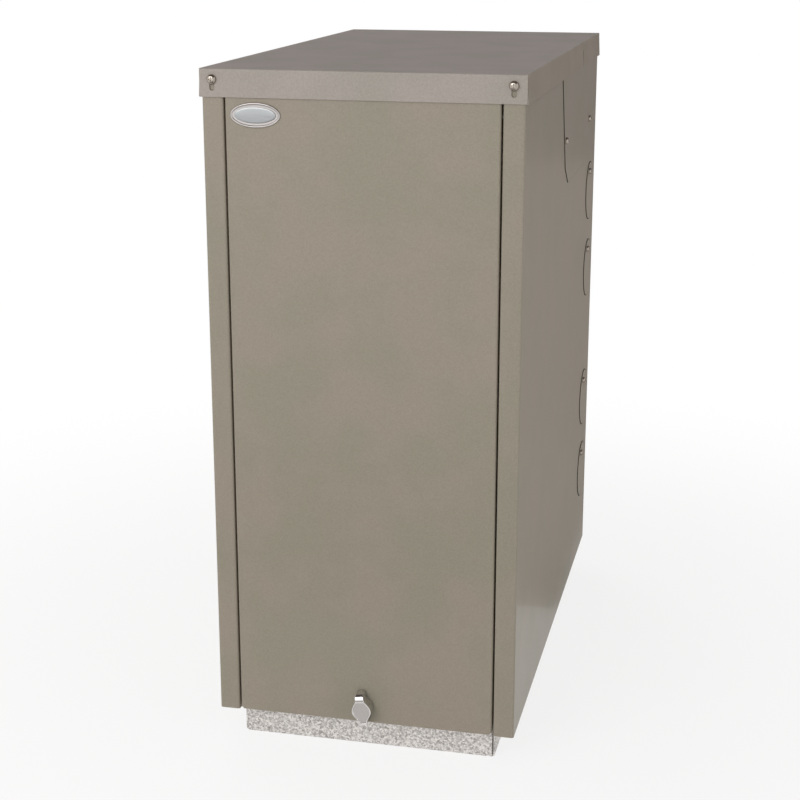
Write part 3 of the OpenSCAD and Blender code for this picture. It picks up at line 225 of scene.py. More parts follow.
@dataclass(frozen=True)
class PowderCoat(Finish):
    """Polyester powder coat, stoved on folded sheet: satin, with a fine leathery texture."""

    # The powder flows out into a close grain that breaks the light up into soft points, while
    # the colour drifts a little between olive and taupe from one hand's breadth to the next. Seen
    # along the sheet, the smooth skin on top mirrors what stands on it. The real grain is about
    # 1 mm wide and is drawn at twice that, so that it shows.
    name: ClassVar[str] = "Satin textured powder coat, olive grey"
    tone: ClassVar[str] = "#979082"
    roughness: ClassVar[float] = 0.46
    olive: str = "#959080"
    taupe: str = "#9B9284"
    grain_mm: float = 2.1
    drift_mm: float = 70.0
    grain_height_mm: float = 0.035
    grain_contrast: float = 0.07
    roughness_spread: float = 0.06
    specular: float = 0.32
    gloss: float = 0.13
    gloss_roughness: float = 0.16

    def dress(self, tree: bpy.types.NodeTree, shader: bpy.types.Node) -> None:
        """Adds the drift of colour, the grain's fine light and dark, and its relief.

        Args:
            tree: the material's node tree.
            shader: its Principled node.
        """
        drift = pattern(tree, "ShaderNodeTexNoise", self.drift_mm, {"Detail": 2.0, "Roughness": 0.5})
        grain = pattern(tree, "ShaderNodeTexNoise", self.grain_mm, {"Detail": 2.0, "Roughness": 0.6})
        spread = add_node(tree, "ShaderNodeMapRange", {
            "Value": drift.outputs["Fac"], "From Min": 0.35, "From Max": 0.65})
        hue = add_node(tree, "ShaderNodeMix", {
            0: spread.outputs["Result"], 6: linear(self.olive), 7: linear(self.taupe)}, data_type="RGBA")
        level = add_node(tree, "ShaderNodeMapRange", {
            "Value": grain.outputs["Fac"], "From Min": 0.3, "From Max": 0.7,
            "To Min": 1 - self.grain_contrast, "To Max": 1 + self.grain_contrast})
        lit = add_node(tree, "ShaderNodeVectorMath", {
            0: hue.outputs[2], 1: level.outputs["Result"]}, operation="MULTIPLY")
        relief = add_node(tree, "ShaderNodeBump", {
            "Height": grain.outputs["Fac"], "Distance": self.grain_height_mm * MM, "Strength": 1.0})
        rough = add_node(tree, "ShaderNodeMapRange", {
            "Value": grain.outputs["Fac"], "To Min": self.roughness - self.roughness_spread,
            "To Max": self.roughness + self.roughness_spread})
        tree.links.new(lit.outputs["Vector"], shader.inputs["Base Color"])
        tree.links.new(rough.outputs["Result"], shader.inputs["Roughness"])
        tree.links.new(relief.outputs["Normal"], shader.inputs["Normal"])
        shader.inputs["Specular IOR Level"].default_value = self.specular
        shader.inputs["Coat Weight"].default_value = self.gloss
        shader.inputs["Coat Roughness"].default_value = self.gloss_roughness


@dataclass(frozen=True)
class LidCoat(PowderCoat):
    """The same powder coat on the lid, in a lighter tone as painted light on the top and front lip, taken
    back as painted shade on the lips that face sideways.
    """

    # The top and the front lip carry a lighter, greyer tone than the panels, which is painted light, while
    # the lips along the sides are multiplied back to a deeper colour, which is painted shade by the way
    # they face.
    name: ClassVar[str] = "Satin textured powder coat, faded on the lid"
    tone: ClassVar[str] = "#A39D97"
    olive: str = "#A19B92"
    taupe: str = "#A79F98"
    side_shade: str = "#EEEADC"

    def dress(self, tree: bpy.types.NodeTree, shader: bpy.types.Node) -> None:
        """Adds the panels' pattern, then darkens the lips that face sideways, as painted shade.

        Args:
            tree: the material's node tree.
            shader: its Principled node.
        """
        super().dress(tree, shader)
        lit_lid_colour = shader.inputs["Base Color"].links[0].from_socket
        # Painted shade: the lips that face sideways are multiplied darker than the lit top and front.
        facing = add_node(tree, "ShaderNodeTexCoord")
        parts = add_node(tree, "ShaderNodeSeparateXYZ", {"Vector": facing.outputs["Normal"]})
        sideways = add_node(tree, "ShaderNodeMath", {0: parts.outputs["X"]}, operation="ABSOLUTE")
        colour = add_node(tree, "ShaderNodeMix", {
            0: sideways.outputs["Value"], 6: lit_lid_colour, 7: linear(self.side_shade)},
            data_type="RGBA", blend_type="MULTIPLY")
        tree.links.new(colour.outputs[2], shader.inputs["Base Color"])


@dataclass(frozen=True)
class SpangledZinc(Finish):
    """Hot-dip zinc coating on sheet steel, left bare, with a fine broken spangle."""

    # Crystals a few millimetres wide each turn the light their own way, so the sheet looks salted
    # with pale and grey flakes, without a mirror anywhere.
    name: ClassVar[str] = "Hot-dip zinc coated steel, fine spangle"
    tone: ClassVar[str] = "#BDB9B5"
    metallic: ClassVar[float] = 0.55
    roughness: ClassVar[float] = 0.5
    dark: str = "#87827E"
    light: str = "#F1EDE9"
    flake_mm: float = 2.1
    cloud_mm: float = 3.6

    def dress(self, tree: bpy.types.NodeTree, shader: bpy.types.Node) -> None:
        """Adds the flakes' own tones, the cloud that gathers them, and their roughness.

        Args:
            tree: the material's node tree.
            shader: its Principled node.
        """
        flakes = pattern(tree, "ShaderNodeTexVoronoi", self.flake_mm, {"Randomness": 1.0})
        warp = pattern(tree, "ShaderNodeTexNoise", self.cloud_mm, {"Detail": 4.0, "Roughness": 0.7})
        flake = add_node(tree, "ShaderNodeSeparateColor", {"Color": flakes.outputs["Color"]})
        mixed = add_node(tree, "ShaderNodeMath", {
            0: flake.outputs["Red"], 1: 0.45, 2: warp.outputs["Fac"]}, operation="MULTIPLY_ADD")
        tones = add_node(tree, "ShaderNodeMapRange", {
            "Value": mixed.outputs["Value"], "From Min": 0.35, "From Max": 0.95})
        colour = add_node(tree, "ShaderNodeMix", {
            0: tones.outputs["Result"], 6: linear(self.dark), 7: linear(self.light)}, data_type="RGBA")
        rough = add_node(tree, "ShaderNodeMapRange", {
            "Value": flake.outputs["Green"], "To Min": 0.38, "To Max": 0.6})
        tree.links.new(colour.outputs[2], shader.inputs["Base Color"])
        tree.links.new(rough.outputs["Result"], shader.inputs["Roughness"])


@dataclass(frozen=True)
class ScuffedMetal(Finish):
    """A smooth metal whose gloss is broken by fine handling marks."""

    low: ClassVar[float] = 0.1
    high: ClassVar[float] = 0.2
    mark_mm: ClassVar[float] = 8.0

    def dress(self, tree: bpy.types.NodeTree, shader: bpy.types.Node) -> None:
        """Adds patches of slightly duller metal.

        Args:
            tree: the material's node tree.
            shader: its Principled node.
        """
        marks = pattern(tree, "ShaderNodeTexNoise", self.mark_mm, {"Detail": 5.0, "Roughness": 0.65})
        rough = add_node(tree, "ShaderNodeMapRange", {
            "Value": marks.outputs["Fac"], "From Min": 0.3, "From Max": 0.7,
            "To Min": self.low, "To Max": self.high})
        tree.links.new(rough.outputs["Result"], shader.inputs["Roughness"])


@dataclass(frozen=True)
class ChromePlate(ScuffedMetal):
    """Chromium plate on a die-cast body, polished: a clear, slightly grey mirror."""

    name: ClassVar[str] = "Polished chrome plate"
    tone: ClassVar[str] = "#D3D0CE"
    metallic: ClassVar[float] = 1.0
    low: ClassVar[float] = 0.05
    high: ClassVar[float] = 0.12


@dataclass(frozen=True)
class SatinChrome(ScuffedMetal):
    """Chromium plate on a blasted face, as in the wing's recess: an even soft grey."""

    name: ClassVar[str] = "Satin chrome plate"
    tone: ClassVar[str] = "#B9B4B1"
    metallic: ClassVar[float] = 1.0
    low: ClassVar[float] = 0.26
    high: ClassVar[float] = 0.36


@dataclass(frozen=True)
class BrightZinc(ScuffedMetal):
    """Clear passivated zinc plate on steel screws: bright, a little milky."""

    name: ClassVar[str] = "Bright zinc plate on steel"
    tone: ClassVar[str] = "#A89F95"
    metallic: ClassVar[float] = 1.0
    low: ClassVar[float] = 0.14
    high: ClassVar[float] = 0.24
    mark_mm: ClassVar[float] = 3.0


@dataclass(frozen=True)
class MachinedSteel(ScuffedMetal):
    """Plain turned or pressed steel, lightly oiled: mid grey, half dull."""

    name: ClassVar[str] = "Bare machined steel"
    tone: ClassVar[str] = "#A3A3A7"
    metallic: ClassVar[float] = 1.0
    low: ClassVar[float] = 0.28
    high: ClassVar[float] = 0.5


@dataclass(frozen=True)
class Brass(ScuffedMetal):
    """Machined brass fittings: warm yellow, gone slightly dull where hands have been."""

    name: ClassVar[str] = "Machined brass"
    tone: ClassVar[str] = "#CDA65C"
    metallic: ClassVar[float] = 1.0
    low: ClassVar[float] = 0.2
    high: ClassVar[float] = 0.42


@dataclass(frozen=True)
class DrawnCopper(ScuffedMetal):
    """Drawn copper tube: warm red-brown with darker cloudy patches of oxide."""

    name: ClassVar[str] = "Drawn copper tube"
    tone: ClassVar[str] = "#C07A55"
    metallic: ClassVar[float] = 1.0
    low: ClassVar[float] = 0.22
    high: ClassVar[float] = 0.48
    mark_mm: ClassVar[float] = 14.0


@dataclass(frozen=True)
class BrushedMetal(Finish):
    """A metal ground along one direction, so that its light draws out into fine lines."""

    line_mm: ClassVar[float] = 0.9
    line_height_mm: ClassVar[float] = 0.006
    run: ClassVar[Point] = (0.02, 1.0, 1.0)

    def dress(self, tree: bpy.types.NodeTree, shader: bpy.types.Node) -> None:
        """Adds the grinding lines, drawn coarser than real ones so that they show.

        Args:
            tree: the material's node tree.
            shader: its Principled node.
        """
        lines = pattern(tree, "ShaderNodeTexNoise", self.line_mm, {"Detail": 3.0, "Roughness": 0.6},
                        stretch=self.run)
        rough = add_node(tree, "ShaderNodeMapRange", {
            "Value": lines.outputs["Fac"], "To Min": self.roughness - 0.1, "To Max": self.roughness + 0.12})
        relief = add_node(tree, "ShaderNodeBump", {
            "Height": lines.outputs["Fac"], "Distance": self.line_height_mm * MM, "Strength": 1.0})
        tree.links.new(rough.outputs["Result"], shader.inputs["Roughness"])
        tree.links.new(relief.outputs["Normal"], shader.inputs["Normal"])


@dataclass(frozen=True)
class BadgeFace(BrushedMetal):
    """Anodised aluminium, brushed across: pale silver with a soft sweep of light."""

    name: ClassVar[str] = "Brushed anodised aluminium"
    tone: ClassVar[str] = "#A3A5A6"
    metallic: ClassVar[float] = 1.0
    roughness: ClassVar[float] = 0.3
    line_mm: ClassVar[float] = 0.5
    line_height_mm: ClassVar[float] = 0.0012


@dataclass(frozen=True)
class Stainless(BrushedMetal):
    """Brushed austenitic stainless sheet: cool grey with lines round the flue."""

    name: ClassVar[str] = "Brushed stainless steel"
    tone: ClassVar[str] = "#B0B1B3"
    metallic: ClassVar[float] = 1.0
    roughness: ClassVar[float] = 0.34


@dataclass(frozen=True)
class GrainedSurface(Finish):
    """A surface with one even relief grain over its colour."""

    # A grain much finer than a millimetre is drawn coarser than it is, so that it shows.
    dark: ClassVar[str] = "#303030"
    grain_mm: ClassVar[float] = 1.5
    height_mm: ClassVar[float] = 0.1

    def dress(self, tree: bpy.types.NodeTree, shader: bpy.types.Node) -> None:
        """Adds the grain's relief and a slight darkening in its hollows.

        Args:
            tree: the material's node tree.
            shader: its Principled node.
        """
        grain = pattern(tree, "ShaderNodeTexNoise", self.grain_mm, {"Detail": 4.0, "Roughness": 0.6})
        relief = add_node(tree, "ShaderNodeBump", {
            "Height": grain.outputs["Fac"], "Distance": self.height_mm * MM, "Strength": 0.8})
        spread = add_node(tree, "ShaderNodeMapRange", {
            "Value": grain.outputs["Fac"], "From Min": 0.3, "From Max": 0.6})
        colour = add_node(tree, "ShaderNodeMix", {
            0: spread.outputs["Result"], 6: linear(self.dark), 7: linear(self.tone)}, data_type="RGBA")
        tree.links.new(colour.outputs[2], shader.inputs["Base Color"])
        tree.links.new(relief.outputs["Normal"], shader.inputs["Normal"])


@dataclass(frozen=True)
class StovePaint(GrainedSurface):
    """Sprayed high-temperature paint on boiler plate: dead matt black with dry overspray."""

    name: ClassVar[str] = "Matt black stove paint on plate"
    tone: ClassVar[str] = "#37373A"
    dark: ClassVar[str] = "#2B2B2D"
    roughness: ClassVar[float] = 0.72
    grain_mm: ClassVar[float] = 1.2


@dataclass(frozen=True)
class CastAluminium(GrainedSurface):
    """Pressure die-cast aluminium as it leaves the die: pale grey with a sandy skin."""

    name: ClassVar[str] = "As-cast aluminium"
    tone: ClassVar[str] = "#B3B4B6"
    dark: ClassVar[str] = "#9C9D9F"
    metallic: ClassVar[float] = 0.85
    roughness: ClassVar[float] = 0.52
    grain_mm: ClassVar[float] = 0.9
    height_mm: ClassVar[float] = 0.06


@dataclass(frozen=True)
class MotorEnamel(GrainedSurface):
    """Dark air-dried enamel on a pressed motor shell: semi-gloss with slight orange peel."""

    name: ClassVar[str] = "Dark semi-gloss motor enamel"
    tone: ClassVar[str] = "#2B2D31"
    dark: ClassVar[str] = "#26282B"
    roughness: ClassVar[float] = 0.3
    grain_mm: ClassVar[float] = 2.4
    height_mm: ClassVar[float] = 0.03


@dataclass(frozen=True)
class CeramicFibre(GrainedSurface):
    """Vacuum-formed ceramic fibre board: chalky off-white with a felted, pitted face."""

    name: ClassVar[str] = "Vacuum-formed ceramic fibre"
    tone: ClassVar[str] = "#E8E3D6"
    dark: ClassVar[str] = "#D3CCBC"
    roughness: ClassVar[float] = 0.95
    grain_mm: ClassVar[float] = 2.0
    height_mm: ClassVar[float] = 0.4


@dataclass(frozen=True)
class FoilFoam(GrainedSurface):
    """Foam board with an embossed aluminium foil face: crumpled silver with soft creases."""

    name: ClassVar[str] = "Foil-faced insulation foam"
    tone: ClassVar[str] = "#C8C9CB"
    dark: ClassVar[str] = "#B1B2B5"
    metallic: ClassVar[float] = 0.9
    roughness: ClassVar[float] = 0.36
    grain_mm: ClassVar[float] = 9.0
    height_mm: ClassVar[float] = 0.9


@dataclass(frozen=True)
class BlackPlastic(GrainedSurface):
    """Moulded black ABS with a spark-eroded grain: dark, evenly dull."""

    name: ClassVar[str] = "Moulded black ABS"
    tone: ClassVar[str] = "#1C1C1E"
    dark: ClassVar[str] = "#171718"
    roughness: ClassVar[float] = 0.45
    grain_mm: ClassVar[float] = 0.7
    height_mm: ClassVar[float] = 0.03


@dataclass(frozen=True)
class RedPlastic(GrainedSurface):
    """Moulded red ABS: clear signal red with a soft gloss."""

    name: ClassVar[str] = "Moulded red ABS"
    tone: ClassVar[str] = "#B4231C"
    dark: ClassVar[str] = "#A81F19"
    roughness: ClassVar[float] = 0.28
    grain_mm: ClassVar[float] = 1.0
    height_mm: ClassVar[float] = 0.015


@dataclass(frozen=True)
class LampLens(GrainedSurface):
    """Moulded amber polycarbonate lens: glossy, with its fine prism grain inside."""

    name: ClassVar[str] = "Moulded amber polycarbonate"
    tone: ClassVar[str] = "#E08A24"
    dark: ClassVar[str] = "#C06C14"
    roughness: ClassVar[float] = 0.15
    grain_mm: ClassVar[float] = 1.0
    height_mm: ClassVar[float] = 0.02


@dataclass(frozen=True)
class ShadowLineBead(GrainedSurface):
    """Dark matt bead round a plate's edge, a painted shadow line: grey-brown with a fine grain."""

    name: ClassVar[str] = "Dark bead, painted shadow line"
    tone: ClassVar[str] = "#3A352F"
    dark: ClassVar[str] = "#2E2A26"
    roughness: ClassVar[float] = 0.8
    grain_mm: ClassVar[float] = 1.0
    height_mm: ClassVar[float] = 0.03


FINISHES: dict[Slot, Finish] = {
    Slot.POWDER_COAT: PowderCoat(),
    Slot.ZINC: SpangledZinc(),
    Slot.CHROME: ChromePlate(),
    Slot.BADGE: BadgeFace(),
    Slot.SCREWS: BrightZinc(),
    Slot.BARE_STEEL: MachinedSteel(),
    Slot.STAINLESS: Stainless(),
    Slot.STOVE_PAINT: StovePaint(),
    Slot.FOIL_FOAM: FoilFoam(),
    Slot.BRASS: Brass(),
    Slot.CERAMIC: CeramicFibre(),
    Slot.CAST: CastAluminium(),
    Slot.ENAMEL: MotorEnamel(),
    Slot.BLACK_PLASTIC: BlackPlastic(),
    Slot.RED_PLASTIC: RedPlastic(),
    Slot.COPPER: DrawnCopper(),
    Slot.LENS: LampLens(),
}


class Edge(Enum):
    """How far a node's sharp edges are rounded, in millimetres."""

    SHEET = 0.25
    FASTENER = 0.2
    PLATE = 0.5
    CASTING = 0.8
    SHARP = 0.0


def smoothing() -> bpy.types.NodeTree:
    """Makes the geometry node group that shades by angle, once.

    Returns:
        The group, which drops imported normals and marks edges over 32 degrees sharp.
    """
    name = "Shade by angle"
    found = bpy.data.node_groups.get(name)
    if found:
        return found
    group = bpy.data.node_groups.new(name, "GeometryNodeTree")
    group.interface.new_socket("Geometry", in_out="INPUT", socket_type="NodeSocketGeometry")
    group.interface.new_socket("Geometry", in_out="OUTPUT", socket_type="NodeSocketGeometry")
    start = add_node(group, "NodeGroupInput")
    angle = add_node(group, "GeometryNodeInputMeshEdgeAngle")
    sharp = add_node(group, "FunctionNodeCompare", {
        0: angle.outputs["Unsigned Angle"], 1: math.radians(32)},
        operation="GREATER_THAN", data_type="FLOAT")
    normal = add_node(group, "GeometryNodeSetMeshNormal", {
        "Mesh": start.outputs[0], "Remove Custom": True, "Edge Sharpness": sharp.outputs["Result"],
        "Face Sharpness": False}, mode="SHARPNESS")
    add_node(group, "NodeGroupOutput", {0: normal.outputs["Mesh"]})
    return group


def soften(piece: bpy.types.Object, edge: Edge) -> None:
    """Rounds a piece's sharp edges and shades it by angle.

    Args:
        piece: the object that gets the modifiers.
        edge: how far its edges are rounded.
    """
    weld = piece.modifiers.new("Weld", "WELD")
    weld.merge_threshold = 0.002 * MM
    if edge is not Edge.SHARP:
        flat = piece.modifiers.new("Merge flats", "DECIMATE")
        flat.decimate_type = "DISSOLVE"
        flat.angle_limit = math.radians(0.4)
        bevel = piece.modifiers.new("Round edges", "BEVEL")
        bevel.width = edge.value * MM
        bevel.segments = 2
        bevel.limit_method = "ANGLE"
        bevel.angle_limit = math.radians(40)
        bevel.miter_outer = "MITER_ARC"
    shade_by_angle(piece)


def shade_by_angle(piece: bpy.types.Object) -> None:
    """Shades a piece smooth between its sharp edges, with its large flat faces kept flat.

    Args:
        piece: the object that gets the modifiers.
    """
    shade = piece.modifiers.new("Shade", "NODES")
    shade.node_group = smoothing()
    weighted = piece.modifiers.new("Keep flats flat", "WEIGHTED_NORMAL")
    weighted.weight = 100
    weighted.keep_sharp = True


def new_piece(name: str, verts: Sequence[Point], faces: Sequence[Sequence[int]], finish: Finish,
              body: Body) -> bpy.types.Object:
    """Makes a closed mesh object and puts it on its body.

    Args:
        name: the piece's name.
        verts: corners in the part's frame, in metres.
        faces: each face as numbers of corners.
        finish: what it is made of.
        body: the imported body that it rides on.

    Returns:
        The new object, shaded by angle.
    """
    mesh = bpy.data.meshes.new(name)
    mesh.from_pydata([Vector(v) for v in verts], [], [list(f) for f in faces])
    mesh.validate()
    shaped = bmesh.new()
    shaped.from_mesh(mesh)
    bmesh.ops.recalc_face_normals(shaped, faces=shaped.faces)
    shaped.to_mesh(mesh)
    shaped.free()
    mesh.materials.append(finish.material())
    piece = bpy.data.objects.new(name, mesh)
    bpy.context.scene.collection.objects.link(piece)
    shade_by_angle(piece)
    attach(piece, body.value)
    return piece


def loft(rings: Sequence[Sequence[Point]], closed: bool = False) -> tuple[list[Point], list[list[int]]]:
    """Joins closed rings of equal length into a skin.

    Args:
        rings: the rings, from one end of the skin to the other.
        closed: True to join the last ring to the first, as in a bead round an outline, and False to
            close both ends with a face.

    Returns:
        The corners and the faces.
    """
    count = len(rings[0])
    verts = [v for ring in rings for v in ring]
    faces = []
    spans = len(rings) if closed else len(rings) - 1
    for r in range(spans):
        low, high = r * count, (r + 1) % len(rings) * count
        for k in range(count):
            nxt = (k + 1) % count
            faces.append([low + k, low + nxt, high + nxt, high + k])
    if not closed:
        faces.append(list(range(count))[::-1])
        faces.append([(len(rings) - 1) * count + k for k in range(count)])
    return verts, faces


@dataclass
class SubAssembly:
    """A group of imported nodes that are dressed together, with any pieces made for them here."""

    frame: dict[str, Any]
    nodes: ClassVar[dict[str, Edge]] = {}
    own_finish: ClassVar[dict[str, Finish]] = {}

    def slot_of(self, node: str) -> Slot:
        """Returns the material slot that the record gives a node."""
        rows = self.frame["record"]["subparts"]
        return Slot(next(row["material_slot"] for row in rows if row["node"] == node))

    def build(self) -> None:
        """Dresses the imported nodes, then makes this group's own pieces."""
        for node, edge in self.nodes.items():
            piece = self.frame["nodes"][node]
            finish = self.own_finish.get(node, FINISHES[self.slot_of(node)])
            piece.data.materials.clear()
            piece.data.materials.append(finish.material())
            soften(piece, edge)
            LOG.info("%s: %s", node, finish.name)
        self.make_pieces()

    def make_pieces(self) -> None:
        """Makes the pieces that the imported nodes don't have; most groups have none."""


@dataclass
class Casing(SubAssembly):
    """Folded and painted casing on its zinc plinth, with its covers, discs and screws."""

    nodes: ClassVar[dict[str, Edge]] = {
        "plinth": Edge.SHEET, "floor_tray": Edge.SHEET, "left_side_panel": Edge.SHARP,
        "right_side_panel": Edge.SHARP, "rear_panel": Edge.SHARP, "lid": Edge.SHEET,
        "front_top_rail": Edge.SHEET, "hook_pegs": Edge.FASTENER, "left_flue_cover": Edge.SHEET,
        "right_flue_cover": Edge.SHEET, "left_blanking_discs": Edge.SHARP,
        "right_blanking_discs": Edge.SHARP, "disc_screws": Edge.FASTENER,
        "flue_cover_screws": Edge.FASTENER, "lid_screws": Edge.FASTENER,
        "rear_panel_screws": Edge.FASTENER, "left_foam": Edge.PLATE, "right_foam": Edge.PLATE,
        "lid_foam": Edge.PLATE}
    own_finish: ClassVar[dict[str, Finish]] = {"lid": LidCoat()}
    disc_heights_mm: tuple[float, ...] = (185.0, 310.0, 528.0, 653.0)
    disc_steps: int = 96
    cover_waist_mm: float = 131.5
    cover_foot_mm: float = 99.0
    cover_cut_mm: float = 24.0
    bead_clear_mm: float = 0.02
    bead_width_mm: float = 1.1
    bead_height_mm: float = 1.0

    def bead(self, name: str, outline: Sequence[tuple[float, float]], side: int, face: float) -> None:
        """Makes a thin dark bead round a closed outline on a side panel, as a painted shadow line at the
        plate's edge.

        Args:
            name: the piece's name.
            outline: points (y, z) of the plate's edge, in metres, in order round it.
            side: 1 for the right side panel, -1 for the left.
            face: how far the panel's face stands from the middle, in metres.
        """
        middle = Vector((sum(p[0] for p in outline), sum(p[1] for p in outline))) / len(outline)
        rings = []
        clear, wide, high = self.bead_clear_mm * MM, self.bead_width_mm * MM, self.bead_height_mm * MM
        shape = ((clear, 0.0), (wide, 0.0), (wide * 0.92, high * 0.6), (wide * 0.6, high), (clear, high))
        for y, z in outline:
            out = (Vector((y, z)) - middle).normalized()
            rings.append([(side * (face + up), y + out.x * off, z + out.y * off) for off, up in shape])
        verts, faces = loft(rings, closed=True)
        # The bead is dark so that it paints the shadow line that falls at the plate's edge.
        new_piece(name, verts, faces, ShadowLineBead(), Body.CASING)
        LOG.info("%s: %s", name, ShadowLineBead.name)

    def make_pieces(self) -> None:
        """Makes dark beads round the blanking discs and flue covers of both sides, as painted shadow lines
        at their edges.
        """
        for side, word in ((1, "right"), (-1, "left")):
            low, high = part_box(f"{word}_blanking_discs")
            face = min(abs(low.x), abs(high.x))
            mid_y, radius = (low.y + high.y) / 2, (high.y - low.y) / 2
            for k, height in enumerate(self.disc_heights_mm, 1):
                turns = [2 * math.pi * s / self.disc_steps for s in range(self.disc_steps)]
                ring = [(mid_y + radius * math.cos(t), height * MM + radius * math.sin(t)) for t in turns]
                self.bead(f"{word}_disc_shadow_bead_{k}", ring, side, face)
            low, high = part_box(f"{word}_flue_cover")
            mid_y = (low.y + high.y) / 2
            foot, waist = self.cover_foot_mm * MM, self.cover_waist_mm * MM
            cut = low.z + self.cover_cut_mm * MM
            outline = [(mid_y + foot, low.z), (mid_y + waist, cut), (high.y, high.z), (low.y, high.z),
                       (mid_y - waist, cut), (mid_y - foot, low.z)]
            self.bead(f"{word}_cover_shadow_bead", outline, side, face)


@dataclass
class Door(SubAssembly):
    """Hook-on front door with its foam board."""

    nodes: ClassVar[dict[str, Edge]] = {"door_panel": Edge.SHEET, "door_foam": Edge.PLATE}


@dataclass
class Badge(SubAssembly):
    """Blank oval plate at the top left of the door: a stepped rim round a raised brushed oval."""

    steps: int = 128
    # Each ring gives how far it is inside the plate's edge and how far it stands off the door
    rim_mm: tuple[tuple[float, float], ...] = (
        (0.0, 0.0), (0.0, 0.7), (0.25, 1.3), (0.8, 1.75), (1.5, 1.85), (2.1, 1.7), (2.6, 1.2),
        (3.0, 0.85), (6.6, 0.8), (7.2, 0.4), (7.2, 0.0))
    face_mm: tuple[tuple[float, float], ...] = (
        (5.6, 0.05), (5.6, 1.2), (5.8, 1.6), (6.2, 1.82), (6.9, 1.9), (8.5, 1.95), (11.0, 2.0),
        (13.0, 2.03), (15.0, 2.04))

    def rings(self, steps_mm: Sequence[tuple[float, float]]) -> list[list[Point]]:
        """Draws the plate's outline in and brings it forward, once for each step.

        Args:
            steps_mm: how far inside the outline and how far off the door each ring lies.

        Returns:
            The rings, in metres.
        """
        low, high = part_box("badge_plate")
        mid, half = (low + high) / 2, (high - low) / 2
        made = []
        for inside, out in steps_mm:
            wide, tall = half.x - inside * MM, max(half.z - inside * MM, 0.2 * MM)
            made.append([(mid.x + wide * math.cos(t), high.y - out * MM, mid.z + tall * math.sin(t))
                         for t in (2 * math.pi * k / self.steps for k in range(self.steps))])
        return made

    def make_pieces(self) -> None:
        """Makes the rim and the raised face, which stand for the plain packed plate."""
        verts, faces = loft(self.rings(self.rim_mm), closed=True)
        rim = new_piece("badge_rim", verts, faces, SatinChrome(), Body.DOOR)
        verts, faces = loft(self.rings(self.face_mm))
        new_piece("badge_face", verts, faces, BadgeFace(), Body.DOOR)
        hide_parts("badge_plate")
        LOG.info("badge_rim, badge_face: %s", BadgeFace.name)


